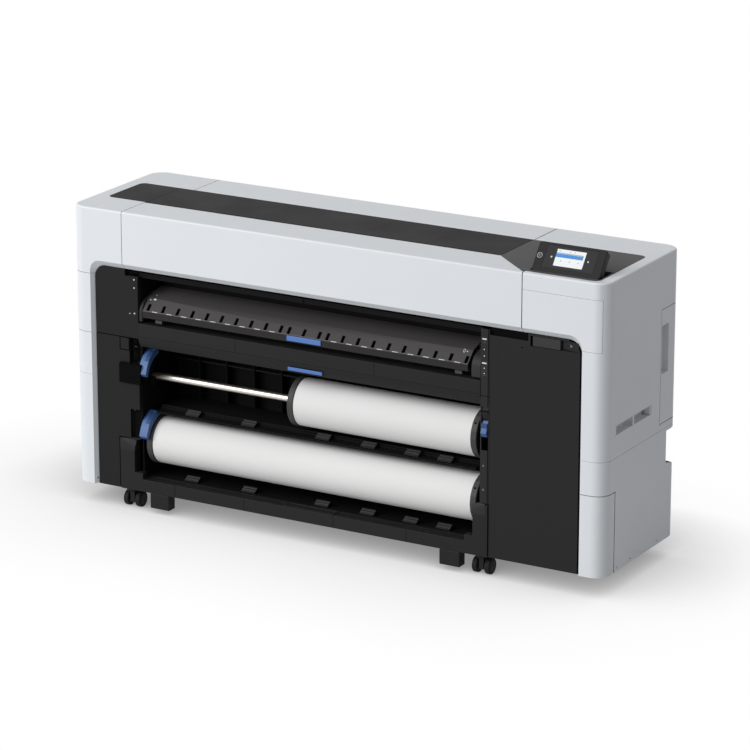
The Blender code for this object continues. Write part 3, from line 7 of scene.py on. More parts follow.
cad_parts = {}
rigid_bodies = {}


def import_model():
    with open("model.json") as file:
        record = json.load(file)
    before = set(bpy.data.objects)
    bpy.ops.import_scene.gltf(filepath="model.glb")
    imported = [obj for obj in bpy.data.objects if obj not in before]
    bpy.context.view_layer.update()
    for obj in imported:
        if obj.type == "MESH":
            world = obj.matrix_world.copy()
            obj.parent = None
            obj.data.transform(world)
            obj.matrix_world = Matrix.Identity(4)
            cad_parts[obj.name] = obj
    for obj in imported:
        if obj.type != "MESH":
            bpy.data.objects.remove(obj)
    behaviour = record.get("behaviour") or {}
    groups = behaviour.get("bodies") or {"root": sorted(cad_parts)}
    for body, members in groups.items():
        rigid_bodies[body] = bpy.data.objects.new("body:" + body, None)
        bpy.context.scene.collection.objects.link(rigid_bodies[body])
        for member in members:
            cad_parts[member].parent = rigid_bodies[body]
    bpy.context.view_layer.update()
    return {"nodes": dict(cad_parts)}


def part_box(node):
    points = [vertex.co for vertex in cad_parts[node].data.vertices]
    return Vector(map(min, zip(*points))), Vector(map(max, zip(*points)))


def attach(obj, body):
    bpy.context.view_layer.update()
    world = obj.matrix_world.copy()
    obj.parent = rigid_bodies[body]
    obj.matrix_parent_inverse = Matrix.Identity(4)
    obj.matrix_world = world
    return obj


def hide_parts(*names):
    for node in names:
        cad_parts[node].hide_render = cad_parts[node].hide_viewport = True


for leftover in list(bpy.data.objects):
    bpy.data.objects.remove(leftover)
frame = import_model()

# Left end cover: one white moulding over the left end of the print unit, open below and towards the lid.
# It hooks on the side cover, and its top edge is rounded like the front cover's.

surface = bpy.data.node_groups.new("moulded_surface", "ShaderNodeTree")
for socket, kind in (("Place", "Vector"), ("Colour", "Color"), ("Mottle", "Float"),
                     ("Gloss", "Float"), ("Grain", "Float")):
    surface.interface.new_socket(socket, in_out="INPUT", socket_type="NodeSocket" + kind)
for socket, kind in (("Colour", "Color"), ("Roughness", "Float"), ("Height", "Float")):
    surface.interface.new_socket(socket, in_out="OUTPUT", socket_type="NodeSocket" + kind)


def node(tree, kind, settings=None, **sockets):
    """A shader node with its settings, and its sockets set to a value or linked to an output."""
    made = tree.nodes.new("ShaderNode" + kind)
    for key, value in (settings or {}).items():
        setattr(made, key, value)
    for key, value in sockets.items():
        into = made.inputs[int(key[1:]) if key[1:].isdigit() else key.replace("_", " ")]
        if isinstance(value, bpy.types.NodeSocket):
            tree.links.new(value, into)
        else:
            into.default_value = value
    return made


def sums(tree, operation, *values):
    """What a math node makes of its values."""
    sockets = {f"i{place}": value for place, value in enumerate(values)}
    return node(tree, "Math", {"operation": operation}, **sockets).outputs[0]


LAYERS_PER_M = 4200.0
group_in = surface.nodes.new("NodeGroupInput").outputs
group_out = surface.nodes.new("NodeGroupOutput").inputs
clouds = node(surface, "TexNoise", Vector=group_in["Place"], Scale=2.3, Detail=3.0).outputs[0]
grains = node(surface, "TexNoise", Vector=group_in["Place"], Scale=group_in["Grain"], Detail=2.0).outputs[0]
smears = node(surface, "TexNoise", Vector=group_in["Place"], Scale=9.0, Detail=4.0).outputs[0]
drift = sums(surface, "SUBTRACT", clouds, 0.5)
drift = sums(surface, "MULTIPLY_ADD", drift, group_in["Mottle"], 1.0)
speck = sums(surface, "SUBTRACT", grains, 0.5)
speck = sums(surface, "MULTIPLY_ADD", speck, group_in["Mottle"], drift)
toned = node(surface, "VectorMath", {"operation": "SCALE"}, i0=group_in["Colour"], Scale=speck).outputs[0]
sheen = sums(surface, "SUBTRACT", smears, 0.5)
sheen = sums(surface, "MULTIPLY_ADD", sheen, 0.14, group_in["Gloss"])
for output, into in ((toned, "Colour"), (sheen, "Roughness"), (grains, "Height")):
    surface.links.new(output, group_out[into])


def coat(name, colour, gloss, mottle=0.08, grain=700.0, depth=0.00004, specular=0.3, metallic=0.0, strength=0.5,
         layers=0.0, **mapping):
    """Moulded, painted, drawn or wound finish: a colour that drifts slightly, uneven gloss and a fine grain."""
    finish = bpy.data.materials.new(name)
    finish.use_nodes = True
    tree = finish.node_tree
    shader = tree.nodes["Principled BSDF"]
    shader.inputs["Specular IOR Level"].default_value = specular
    shader.inputs["Metallic"].default_value = metallic
    place = node(tree, "TexCoord").outputs["Object"]
    if mapping:
        place = node(tree, "Mapping", Vector=place, **mapping).outputs[0]
    grainy = node(tree, "Group", {"node_tree": surface}, Place=place, Colour=(*colour, 1.0),
                  Mottle=mottle, Gloss=gloss, Grain=grain).outputs
    shade = grainy["Colour"]
    if layers:
        parts = node(tree, "SeparateXYZ", Vector=place).outputs
        reach = node(tree, "CombineXYZ", Y=parts["Y"], Z=parts["Z"]).outputs[0]
        reach = node(tree, "VectorMath", {"operation": "LENGTH"}, i0=reach).outputs["Value"]
        wave = sums(tree, "SINE", sums(tree, "MULTIPLY", reach, LAYERS_PER_M))
        layer = sums(tree, "MULTIPLY_ADD", wave, layers, 1.0 - layers)
        shade = node(tree, "VectorMath", {"operation": "SCALE"}, i0=shade, Scale=layer).outputs[0]
    bump = node(tree, "Bump", Strength=strength, Distance=depth, Height=grainy["Height"])
    tree.links.new(shade, shader.inputs["Base Color"])
    tree.links.new(grainy["Roughness"], shader.inputs["Roughness"])
    tree.links.new(bump.outputs["Normal"], shader.inputs["Normal"])
    return finish


def work_on(piece):
    """Leaves one object selected and active."""
    bpy.ops.object.select_all(action="DESELECT")
    piece.select_set(True)
    bpy.context.view_layer.objects.active = piece


def cast(source, name):
    """A merged copy of a CAD node's mesh, with its flat faces whole again."""
    piece = bpy.data.objects.new(name, frame["nodes"][source].data.copy())
    bpy.context.scene.collection.objects.link(piece)
    piece.data.name = name
    piece.data.materials.clear()
    work_on(piece)
    bpy.ops.mesh.customdata_custom_splitnormals_clear()
    bpy.ops.object.mode_set(mode="EDIT")
    bpy.ops.mesh.select_all(action="SELECT")
    bpy.ops.mesh.remove_doubles(threshold=0.00002)
    bpy.ops.mesh.dissolve_limited(angle_limit=radians(0.3))
    bpy.ops.object.mode_set(mode="OBJECT")
    return piece


def pick(piece, rule, kind="EDGE"):
    """Selects a piece's edges, or its faces, by a rule, and leaves it in edit mode."""
    work_on(piece)
    bpy.ops.object.mode_set(mode="EDIT")
    bpy.ops.mesh.select_mode(type=kind)
    bpy.ops.mesh.select_all(action="DESELECT")
    bpy.ops.object.mode_set(mode="OBJECT")
    points = piece.data.vertices
    if kind == "EDGE":
        for edge in piece.data.edges:
            edge.select = bool(rule(*(points[corner].co for corner in edge.vertices)))
    else:
        for face in piece.data.polygons:
            face.select = bool(rule(face.center, face.normal))
    bpy.ops.object.mode_set(mode="EDIT")


def bevel_edges(piece, rule, width, segments=4):
    """Rounds the edges that a rule picks by their two ends."""
    pick(piece, rule)
    bpy.ops.mesh.bevel(offset=width, segments=segments, affect="EDGES")
    bpy.ops.object.mode_set(mode="OBJECT")
    return piece


def apply_modifier(piece, name, kind, **settings):
    work_on(piece)
    modifier = piece.modifiers.new(name, kind)
    for key, value in settings.items():
        setattr(modifier, key, value)
    bpy.ops.object.modifier_apply(modifier=modifier.name)
    return piece


def soften(piece, width, segments=3, angle=40):
    """Breaks every sharp edge with a small round."""
    return apply_modifier(piece, "edges", "BEVEL", width=width, segments=segments, limit_method="ANGLE",
                          angle_limit=radians(angle))


def smooth(piece, angle=35):
    """Smooth shading between shallow facets, with flat faces kept flat."""
    work_on(piece)
    bpy.ops.object.shade_smooth_by_angle(angle=radians(angle))
    return apply_modifier(piece, "normals", "WEIGHTED_NORMAL", weight=80, keep_sharp=True)


def fit(piece, finish, slot, body, *stands_for):
    """Gives a piece its finish and fixes it to the body that it rides on."""
    if not piece.data.materials:
        piece.data.materials.append(finish)
    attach(piece, body)
    if stands_for:
        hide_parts(*stands_for)
    return piece


def add(piece, width, finish, slot, body, segments=3):
    """Softens a loose piece's edges and fits it."""
    return fit(smooth(soften(piece, width, segments)), finish, slot, body)


def dress(source, name, width, finish, slot, body, segments=3, angle=40):
    """A CAD node's own shape with soft edges and a finish, in place of the node."""
    return fit(smooth(soften(cast(source, name), width, segments, angle)), finish, slot, body, source)


white_shell = coat("white_shell", (0.7, 0.73, 0.765), 0.42, 0.03, 900.0, 0.00003)
left_low, left_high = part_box("left_end_cover")
x_left, x_right = left_low.x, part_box("right_end_cover")[1].x
y_front, y_back = left_low.y, left_high.y
z_top = left_high.z
FRONT_ROUND = 0.045
REAR_ROUND = 0.048
TOP_ROUND = 0.006
PAST = 0.01  # how far a cutter runs past the face that it cuts


def on_rim(point):
    """True for a point of the casing's outline, seen from above."""
    across = min(point.x - x_left, x_right - point.x)
    front, back = point.y - y_front, y_back - point.y
    if across < FRONT_ROUND and front < FRONT_ROUND:
        return abs(hypot(FRONT_ROUND - across, FRONT_ROUND - front) - FRONT_ROUND) < 0.0004
    if across < REAR_ROUND and back < REAR_ROUND:
        return abs(hypot(REAR_ROUND - across, REAR_ROUND - back) - REAR_ROUND) < 0.0004
    return min(across, front, back) < 0.0002


def top_rim(a, b):
    return min(a.z, b.z) > z_top - 0.0001 and on_rim(a) and on_rim(b)


def block(name, low, high):
    """A cube primitive stretched between two corners, to be shaped further or used as a cutter."""
    bpy.ops.object.select_all(action="DESELECT")
    low, high = Vector(low), Vector(high)
    bpy.ops.mesh.primitive_cube_add(size=1, location=(low + high) / 2)
    piece = bpy.context.object
    piece.name = piece.data.name = name
    piece.scale = high - low
    bpy.ops.object.transform_apply(location=True, rotation=True, scale=True)
    return piece


def carve(piece, *tools):
    """Cuts the tools' shapes out of a piece."""
    for tool in tools:
        apply_modifier(piece, "cut", "BOOLEAN", operation="DIFFERENCE", solver="EXACT", object=tool)
        bpy.data.objects.remove(tool)
    return piece


def score(piece, finish, *tools):
    """Cuts joint lines whose walls stay dark, because no light reaches them."""
    for part in (piece,) + tools:
        if not part.data.materials:
            part.data.materials.append(finish)
            part.data.materials.append(joint_shade)
    for tool in tools:
        for face in tool.data.polygons:
            face.material_index = 1
    return carve(piece, *tools)


def grooves(piece, finish, *spans):
    """Joint lines, each given by the two corners of its box."""
    return score(piece, finish, *(block("line", low, high) for low, high in spans))


def lines(y_face, depth, *spans):
    """Boxes of lines in a front face, each given by its left, right, lower and upper edge."""
    return [((left, y_face - PAST, low), (right, y_face + depth, high)) for left, right, low, high in spans]


def skin(low, high, depth=0.0018):
    """The share of a box that lies in the casing's outer skin, round its corners too."""
    shell = block("skin", low, high)
    inside = block("inside", (x_left + depth, y_front + depth, low[2] - PAST),
                   (x_right - depth, y_back - depth, high[2] + PAST))
    for turn, edge in ((FRONT_ROUND, y_front), (REAR_ROUND, y_back)):
        bevel_edges(inside, lambda a, b: abs(a.z - b.z) > 0.005 and max(abs(a.y - edge), abs(b.y - edge)) < 0.01,
                    turn - depth, 8)
    return carve(shell, inside)


# Painted shade: the walls that score cuts for joint lines, gaps, rebates, holes and deep recesses take this
# near-black, where a real gap lies in shadow.
joint_shade = coat("joint_shade", (0.006, 0.006, 0.006), 0.7, 0.05, 700.0, 0.00002, 0.0)
lid_low, lid_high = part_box("front_cover")
top_low, top_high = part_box("top_rear_cover")
cover = bevel_edges(cast("left_end_cover", "left_end_shell"), top_rim, TOP_ROUND)
soften(cover, 0.0006)
score(cover, white_shell,
      skin((x_left - PAST, y_front - PAST, left_low.z - PAST), (left_high.x, y_back + PAST, left_low.z + 0.0001)),
      skin((lid_low.x - 0.0013, y_front - PAST, lid_low.z), (lid_low.x, y_front + 0.02, z_top + PAST), 0.003),
      block("line", (lid_low.x - 0.0013, y_front - PAST, z_top - 0.003), (lid_low.x, lid_high.y, z_top + PAST)),
      block("line", (top_low.x - 0.0013, top_low.y, z_top - 0.003), (top_low.x, y_back + PAST, z_top + PAST)))
fit(smooth(cover), white_shell, "white_shell", "chassis", "left_end_cover")

# Left side cover: the white wall below it down to the floor gap, in three stacked mouldings whose joints
# show as fine lines. A steel screw at its foot holds it to the base.


def turned(name, profile, steps=32, ring=False):
    """A circle carried up the Z axis along (radius, height) pairs, with its two ends bridged for a ring."""
    bpy.ops.object.select_all(action="DESELECT")
    bpy.ops.mesh.primitive_circle_add(vertices=steps, radius=profile[0][0], location=(0, 0, profile[0][1]),
                                      fill_type="NOTHING" if ring else "NGON")
    piece = bpy.context.object
    piece.name = piece.data.name = name
    bpy.ops.object.transform_apply(location=True, rotation=True, scale=True)
    bpy.ops.object.mode_set(mode="EDIT")
    bpy.ops.mesh.select_mode(type="EDGE")
    bpy.ops.mesh.select_all(action="SELECT")
    for (radius, height), (next_radius, next_height) in zip(profile, profile[1:]):
        bpy.ops.mesh.extrude_region_move(TRANSFORM_OT_translate={"value": (0, 0, next_height - height)})
        grow = next_radius / radius
        bpy.ops.transform.resize(value=(grow, grow, 1))
    if ring:
        bpy.ops.mesh.select_all(action="DESELECT")
        bpy.ops.mesh.select_non_manifold()
        bpy.ops.mesh.bridge_edge_loops()
    bpy.ops.mesh.select_all(action="SELECT")
    bpy.ops.mesh.normals_make_consistent(inside=False)
    bpy.ops.object.mode_set(mode="OBJECT")
    return piece


def aim(piece, direction, place):
    """Turns a piece's own Z axis along a direction, and carries it to its place."""
    turn = Vector(direction).to_track_quat("Z", "Y").to_matrix().to_4x4()
    piece.data.transform(Matrix.Translation(place) @ turn)
    return piece


def gather(pieces):
    """Joins pieces into the first one."""
    work_on(pieces[0])
    for piece in pieces[1:]:
        piece.select_set(True)
    bpy.ops.object.join()
    return pieces[0]


def repeat(piece, moves):
    """Copies of a piece, each with its own mesh moved by a vector or a matrix, joined with it."""
    twins = []
    for move in moves:
        twin = bpy.data.objects.new(piece.name + "_twin", piece.data.copy())
        bpy.context.scene.collection.objects.link(twin)
        twin.data.transform(move if isinstance(move, Matrix) else Matrix.Translation(move))
        twins.append(twin)
    return gather([piece] + twins)


steel_screw = coat("steel_screw", (0.3, 0.3, 0.31), 0.34, 0.1, 1500.0, 0.00002, 0.5, 1.0)


def screws(name, direction, body, places, radius=0.0036, finish=steel_screw, slot="spindle_steel"):
    """Domed screw heads with a cross recess, all facing one way."""
    head = turned(name, [(radius, -0.0008), (radius, 0.0006), (radius * 0.86, 0.0013), (radius * 0.5, 0.0017)], 20)
    long, wide = radius * 0.62, radius * 0.16
    carve(head, block("slit", (-long, -wide, 0.0007), (long, wide, 0.003)),
          block("slit", (-wide, -long, 0.0007), (wide, long, 0.003)))
    aim(head, direction, places[0])
    repeat(head, [Vector(place) - Vector(places[0]) for place in places[1:]])
    return fit(smooth(head), finish, slot, body)


MID_JOINTS = ((0.5605, 0.0005), (0.425, 0.0002))
cover = soften(cast("left_side_cover", "left_side_shell"), 0.0006)
score(cover, white_shell,
      skin((x_left - PAST, y_front - PAST, left_low.z - 0.001), (left_high.x, y_back + PAST, left_low.z + PAST)),
      *(skin((x_left - PAST, y_front - PAST, z - half), (x_left + 0.19, y_back + PAST, z + half)) for z,
        half in MID_JOINTS))
fit(smooth(cover), white_shell, "white_shell", "chassis", "left_side_cover")
screws("left_cover_screw", (0.814, -0.581, 0), "chassis", [(x_left + 0.0735, y_front + 0.0078, 0.085)])

# Front cover: the long white moulding that lifts with the window, with a slanted lip along its lower edge.
# Small rounds break its edges, and its ends meet the end covers at a narrow gap.

STRIP_END = 0.5045
cover = soften(cast("front_cover", "front_cover_shell"), 0.0008)
score(cover, white_shell,
      skin((lid_high.x - 0.0016, y_front - PAST, lid_low.z - PAST),
           (lid_high.x + PAST, y_front + 0.02, z_top + PAST), 0.003),
      block("line", (lid_high.x - 0.0016, y_front - PAST, z_top - 0.003),
            (lid_high.x + PAST, lid_high.y + PAST, z_top + PAST)),
      block("line", (lid_low.x - PAST, lid_high.y - 0.006, z_top - 0.0006),
            (STRIP_END, lid_high.y + PAST, z_top + PAST)))
fit(smooth(cover), white_shell, "white_shell", "lid", "front_cover")

# Dark strip: smoked window of the lid, and the inlay that carries it on into the left end cover's recess.
# Both are low-sheen tinted plastic, the inlay rounded at its far corners and pressed in flush.


def arc(centre, radius, start, end, steps=6):
    """Points round part of a circle, angles in degrees."""
    turns = [radians(start + (end - start) * step / steps) for step in range(steps + 1)]
    return [(centre[0] + radius * cos(turn), centre[1] + radius * sin(turn)) for turn in turns]


def traced(name, outline, pull):
    """An outline drawn from one vertex by extruding it point by point, filled and pulled out."""
    points = [Vector(point) for point in outline]
    bpy.ops.object.select_all(action="DESELECT")
    bpy.ops.mesh.primitive_plane_add(size=0.001, location=points[0])
    piece = bpy.context.object
    piece.name = piece.data.name = name
    bpy.ops.object.transform_apply(location=True, rotation=True, scale=True)
    bpy.ops.object.mode_set(mode="EDIT")
    bpy.ops.mesh.select_mode(type="VERT")
    bpy.ops.mesh.select_all(action="SELECT")
    bpy.ops.mesh.merge(type="CENTER")
    for start, end in zip(points, points[1:]):
        bpy.ops.mesh.extrude_region_move(TRANSFORM_OT_translate={"value": end - start})
    bpy.ops.mesh.select_all(action="SELECT")
    bpy.ops.mesh.edge_face_add()
    bpy.ops.mesh.extrude_region_move(TRANSFORM_OT_translate={"value": pull})
    bpy.ops.mesh.select_all(action="SELECT")
    bpy.ops.mesh.normals_make_consistent(inside=False)
    bpy.ops.object.mode_set(mode="OBJECT")
    return piece


def drawn(name, left, right, profile, y=0.0, z=0.0):
    """A bar along X, traced from its (y, z) profile."""
    return traced(name, [(left, y + deep, z + rise) for deep, rise in profile], (right - left, 0, 0))


INLAY_GAP = 0.0003
INLAY_LENGTH = 0.142
INLAY_DEPTH = 0.0025
INLAY_CORNER = 0.02
dark_strip = coat("dark_strip", (0.01, 0.0095, 0.0105), 0.38, 0.12, 1200.0, 0.00002, 0.02)
window_low, window_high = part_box("cover_window")
dress("cover_window", "smoked_window", 0.0006, dark_strip, "dark_strip", "lid")
ends = (window_low.y + INLAY_CORNER, window_high.y - INLAY_CORNER)
edge = window_low.x - 0.001
radius = INLAY_CORNER - INLAY_GAP
outline = [(edge, window_low.y + INLAY_GAP), (edge, window_high.y - INLAY_GAP)]
far = window_low.x - INLAY_LENGTH + INLAY_CORNER
outline += arc((far, ends[1]), radius, 90, 180) + arc((far, ends[0]), radius, 180, 270)
strip = traced("strip_end_inlay", [(x, y, z_top - INLAY_DEPTH + 0.0001) for x, y in outline],
               (0, 0, INLAY_DEPTH - 0.0002))
add(strip, 0.0004, dark_strip, "dark_strip", "chassis", 2)

# Right end cover: the large white moulding round the control panel and down the right side. Fine joint lines
# frame its front field, and behind the carrying slot sits a white tub with a block at each end.

PANEL_TOP = 0.909
PANEL_SIDE = 0.9029
PANEL_LOW = 0.752
PANEL_FOOT = 0.836
FINE = 0.0003
GRIP_Y = (y_front + 0.064, y_front + 0.305)
GRIP_Z = (z_top - 0.469, z_top - 0.44)
GRIP_WALL = 0.003
GRIP_REACH = 0.024
GRIP_END = 0.009
cover = bevel_edges(cast("right_end_cover", "right_end_shell"), top_rim, TOP_ROUND)
soften(cover, 0.0006)
side_low, side_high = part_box("side_access_panel")
score(cover, white_shell,
      skin((lid_high.x - 0.002, y_front - PAST, PANEL_TOP - FINE), (PANEL_SIDE, y_front + 0.03, PANEL_TOP + FINE)),
      skin((PANEL_SIDE - FINE, y_front - PAST, PANEL_LOW), (PANEL_SIDE + FINE, y_front + 0.03, PANEL_TOP + FINE)),
      skin((PANEL_FOOT, y_front - PAST, PANEL_LOW - FINE), (PANEL_SIDE, y_front + 0.03, PANEL_LOW + FINE)),
      skin((side_low.x - 0.0015, side_low.y - 0.0015, side_low.z - 0.0017),
           (x_right + PAST, y_back + PAST, side_low.z)),
      skin((side_low.x - 0.0015, side_low.y - 0.0015, side_high.z),
           (x_right + PAST, y_back + PAST, side_high.z + 0.002)),
      skin((x_right - 0.02, side_low.y - 0.0025, side_low.z), (x_right + PAST, side_low.y, side_high.z)),
      block("line", (top_high.x, top_low.y, z_top - 0.003), (top_high.x + 0.0034, y_back + PAST, z_top + PAST)))
fit(smooth(cover), white_shell, "white_shell", "chassis", "right_end_cover")


def dish(piece, facing, wall, depth):
    """Sinks the middle of the face that looks one way, and leaves a rim round it."""
    facing = Vector(facing)
    pick(piece, lambda centre, normal: normal.dot(facing) > 0.9, "FACE")
    bpy.ops.mesh.inset(thickness=wall)
    bpy.ops.mesh.extrude_region_move(TRANSFORM_OT_translate={"value": facing * -depth})
    bpy.ops.object.mode_set(mode="OBJECT")
    return piece


tub = block("grip_tub", (x_right - 0.0043 - GRIP_REACH - GRIP_WALL, GRIP_Y[0] - GRIP_WALL, GRIP_Z[0] - GRIP_WALL),
            (x_right - 0.0043, GRIP_Y[1] + GRIP_WALL, GRIP_Z[1] + GRIP_WALL))
dish(tub, (1, 0, 0), GRIP_WALL * 0.9, GRIP_REACH)
add(tub, 0.0008, white_shell, "white_shell", "chassis")
blocks = block("grip_end_blocks", (x_right - 0.02, GRIP_Y[0] + 0.0012, GRIP_Z[0] + 0.0012),
               (x_right - 0.0012, GRIP_Y[0] + GRIP_END, GRIP_Z[1] - 0.0012))
soften(blocks, 0.0008)
repeat(blocks, [(0, GRIP_Y[1] - GRIP_Y[0] - GRIP_END - 0.0012, 0)])
fit(smooth(blocks), white_shell, "white_shell", "chassis")

# Lower right covers: the side wall, the maintenance cover that swings round the front corner, with a finger
# notch in its inner edge, and the access panel with its grip pocket at the rear. White mouldings, screwed on.

FINGER_Z = (0.18, 0.227)
COVER_SCREWS = (-0.1545, -0.0665, 0.1125)
corner_low, corner_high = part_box("maintenance_cover")
cover = soften(cast("right_side_cover", "right_side_shell"), 0.0006)
score(cover, white_shell,
      skin((corner_low.x, y_front - PAST, corner_high.z),
           (x_right + PAST, corner_high.y + 0.0028, corner_high.z + 0.0023)),
      skin((x_right - 0.01, corner_high.y, corner_low.z - PAST),
           (x_right + PAST, corner_high.y + 0.0028, corner_high.z)))
fit(smooth(cover), white_shell, "white_shell", "chassis", "right_side_cover")
cover = soften(cast("maintenance_cover", "maintenance_shell"), 0.0006)
notch = block("notch", (corner_low.x - PAST, y_front - PAST, FINGER_Z[0]),
              (corner_low.x + 0.012, y_front + 0.0022, FINGER_Z[1]))
carve(cover, bevel_edges(notch, lambda a, b: min(a.x, b.x) > corner_low.x and abs(a.z - b.z) < 0.001, 0.004, 3))
fit(smooth(cover), white_shell, "white_shell", "maintenance_cover", "maintenance_cover")
dress("side_access_panel", "access_shell", 0.0006, white_shell, "white_shell", "chassis")
screws("right_cover_screws", (1, 0, 0), "chassis", [(x_right, y, 0.081) for y in COVER_SCREWS])

# Back: the top rear cover and the flat panel under it, with vent slots over the electronics, joint lines and
# a row of screws. The mains inlet reaches through the panel, with three pins in its socket.

VENT_X = (0.085, 0.235)
VENT_LENGTH = 0.13
VENT_LOW = 0.405
VENT_STEP = 0.009
VENT_ROWS = 11
BACK_JOINTS = (-0.288, 0.0)
BACK_SCREWS = (-0.66, -0.31, -0.266, -0.022, 0.022, 0.485)
rear_low, rear_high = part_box("rear_panel")
unit_low, unit_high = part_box("electronics_box")
dress("top_rear_cover", "top_rear_shell", 0.0006, white_shell, "white_shell", "chassis")
back = soften(cast("rear_panel", "back_shell"), 0.0008)
vent = block("vent", (VENT_X[0], y_back - 0.008, VENT_LOW),
             (VENT_X[0] + VENT_LENGTH, y_back + 0.004, VENT_LOW + 0.004))
bevel_edges(vent, lambda a, b: abs(a.y - b.y) > 0.01, 0.0018, 3)
vents = [(x - VENT_X[0], 0, row * VENT_STEP) for x in VENT_X for row in range(VENT_ROWS)]
carve(back, repeat(vent, vents[1:]))
grooves(back, white_shell,
        *(((x - 0.0005, y_back - 0.0018, rear_low.z - PAST), (x + 0.0005, y_back + PAST, rear_high.z + PAST))
          for x in BACK_JOINTS))
fit(smooth(back), white_shell, "white_shell", "chassis", "rear_panel")
spots = [(x, y_back, z) for x in BACK_SCREWS for z in (rear_low.z + 0.02, rear_high.z - 0.02)]
screws("back_screws", (0, 1, 0), "chassis", spots)
painted_steel = coat("painted_steel", (0.045, 0.045, 0.048), 0.46, 0.12, 600.0, 0.00005, 0.3)
dress("electronics_box", "electronics_case", 0.0008, painted_steel, "painted_steel", "chassis")
pin_x, pin_z = unit_high.x - 0.028, unit_low.z + 0.024
pin = block("inlet_pins", (pin_x - 0.001, y_back - 0.0159, pin_z - 0.0062),
            (pin_x + 0.001, y_back - 0.004, pin_z - 0.0022))
soften(pin, 0.0004, 2)
repeat(pin, [(-0.007, 0, 0.0075), (0.007, 0, 0.0075)])
fit(smooth(pin), steel_screw, "spindle_steel", "chassis")

# Panel tray: dark grey moulded plate in the right end's top, with the pocket that the control panel folds
# into. It clips in from above and has a small slot near its left edge.

tray_grey = coat("tray_grey", (0.082, 0.082, 0.083), 0.5, 0.1, 900.0, 0.00004, 0.05)
dress("panel_tray", "panel_tray_plate", 0.0008, tray_grey, "tray_plastic", "chassis")

# Control panel: black tilting housing on two hinge pins, rounded at its corners. A glass plate with a display
# under it, two touch spots beside the display, and a power button with a ring printed on its cap.

PANEL_WIDE = 0.22
PANEL_SLANT = 0.09
PANEL_THICK = 0.024
GLASS_LEFT, GLASS_LOW = 0.0293, 0.01
GLASS_WIDE, GLASS_TALL = 0.1646, 0.0715
PAGE_LEFT, PAGE_LOW = 0.0638, 0.0193
PAGE_WIDE, PAGE_TALL = 0.093, 0.053
PAGE_BARS = ((0.0, 0.0387, 0.087, 0.0036), (0.006, 0.0462, 0.006, 0.0025), (0.04, 0.0462, 0.005, 0.0025),
             (0.054, 0.0462, 0.005, 0.0025), (0.018, 0.015, 0.004, 0.0035), (0.046, 0.015, 0.004, 0.0035),
             (0.074, 0.015, 0.004, 0.0035))
BUTTON_LEFT = 0.0134
BUTTON_RADIUS = 0.0065
x_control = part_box("panel_screen")[0].x - GLASS_LEFT
slope = Matrix.Translation((x_control, y_front + 0.045, z_top + 0.0015)) @ Matrix.Rotation(radians(52), 4, "X")


def tilted(piece):
    """Carries a piece that was made flat onto the panel's slope."""
    piece.data.transform(slope)
    return piece


def upright(a, b):
    return hypot(a.x - b.x, a.y - b.y) < 0.00001


def plate(name, low, high, corner, rim=0.0):
    """A flat plate with round corners, made lying down, with a soft upper and lower rim."""
    piece = bevel_edges(block(name, low, high), upright, corner, 5)
    return soften(piece, rim, 3, 60) if rim else piece


def at_button(piece):
    """Carries a piece that was made at the origin to the power button's place."""
    piece.data.transform(Matrix.Translation((BUTTON_LEFT, PANEL_SLANT / 2, 0)))
    return piece


GRAINED = (0.5, 0.14, 900.0, 0.00004, 0.15)
black_front = coat("black_front", (0.012, 0.012, 0.0126), *GRAINED)
housing = plate("panel_housing", (0, -0.004, -PANEL_THICK), (PANEL_WIDE, PANEL_SLANT, 0), 0.009, 0.003)
carve(housing, plate("recess", (GLASS_LEFT - 0.0003, GLASS_LOW - 0.0003, -0.0023),
                     (GLASS_LEFT + GLASS_WIDE + 0.0003, GLASS_LOW + GLASS_TALL + 0.0003, 0.01), 0.003))
hole = turned("hole", [(BUTTON_RADIUS + 0.0004, -0.0052), (BUTTON_RADIUS + 0.0004, 0.01)], 32)
carve(housing, at_button(hole))
pin = turned("pin", [(0.0036, -0.0037), (0.004, -0.0033), (0.004, PANEL_WIDE + 0.0033),
                     (0.0036, PANEL_WIDE + 0.0037)], 24)
gather([housing, aim(pin, (1, 0, 0), (0, 0.01, -0.014))])
fit(smooth(tilted(housing)), black_front, "black_plastic", "control_panel", "control_panel")
screen_glass = coat("screen_glass", (0.006, 0.0064, 0.008), 0.1, 0.05, 300.0, 0.000004, 0.14)
glass = plate("screen_glass_plate", (GLASS_LEFT, GLASS_LOW, -0.002),
              (GLASS_LEFT + GLASS_WIDE, GLASS_LOW + GLASS_TALL, 0), 0.003, 0.0005)
fit(smooth(tilted(glass)), screen_glass, "screen_glass", "control_panel", "panel_screen")
DISPLAY = (2500.0, 0.000004, 0.2)
page_white = coat("display_page", (0.82, 0.84, 0.86), 0.25, 0.02, *DISPLAY)
page_blue = coat("display_band", (0.045, 0.25, 0.66), 0.25, 0.03, *DISPLAY)
page_grey = coat("display_marks", (0.36, 0.42, 0.5), 0.25, 0.03, *DISPLAY)
page = plate("display_page", (PAGE_LEFT, PAGE_LOW, -0.0005), (PAGE_LEFT + PAGE_WIDE, PAGE_LOW + PAGE_TALL, 0.0001),
             0.001)
fit(tilted(page), page_white, "screen_glass", "control_panel")
band = plate("display_band", (PAGE_LEFT, PAGE_LOW + 0.0275, -0.0004),
             (PAGE_LEFT + PAGE_WIDE - 0.006, PAGE_LOW + 0.0385, 0.0002), 0.0002)
fit(tilted(band), page_blue, "screen_glass", "control_panel")
bars = [plate("display_marks", (PAGE_LEFT + x, PAGE_LOW + y, -0.0004),
              (PAGE_LEFT + x + wide, PAGE_LOW + y + tall, 0.0002), 0.0006) for x, y, wide, tall in PAGE_BARS]
fit(tilted(gather(bars)), page_grey, "screen_glass", "control_panel")
PRINTED = (0.5, 0.06, 1500.0, 0.00001, 0.2)
# White for real print marks, and also for the painted highlights on the guide's front edge.
print_and_glint_white = coat("white_print_and_glint", (0.62, 0.63, 0.64), *PRINTED)
spot = turned("touch_spots", [(0.0028, -0.0004), (0.0028, 0.0001), (0.0024, 0.00015)], 24)
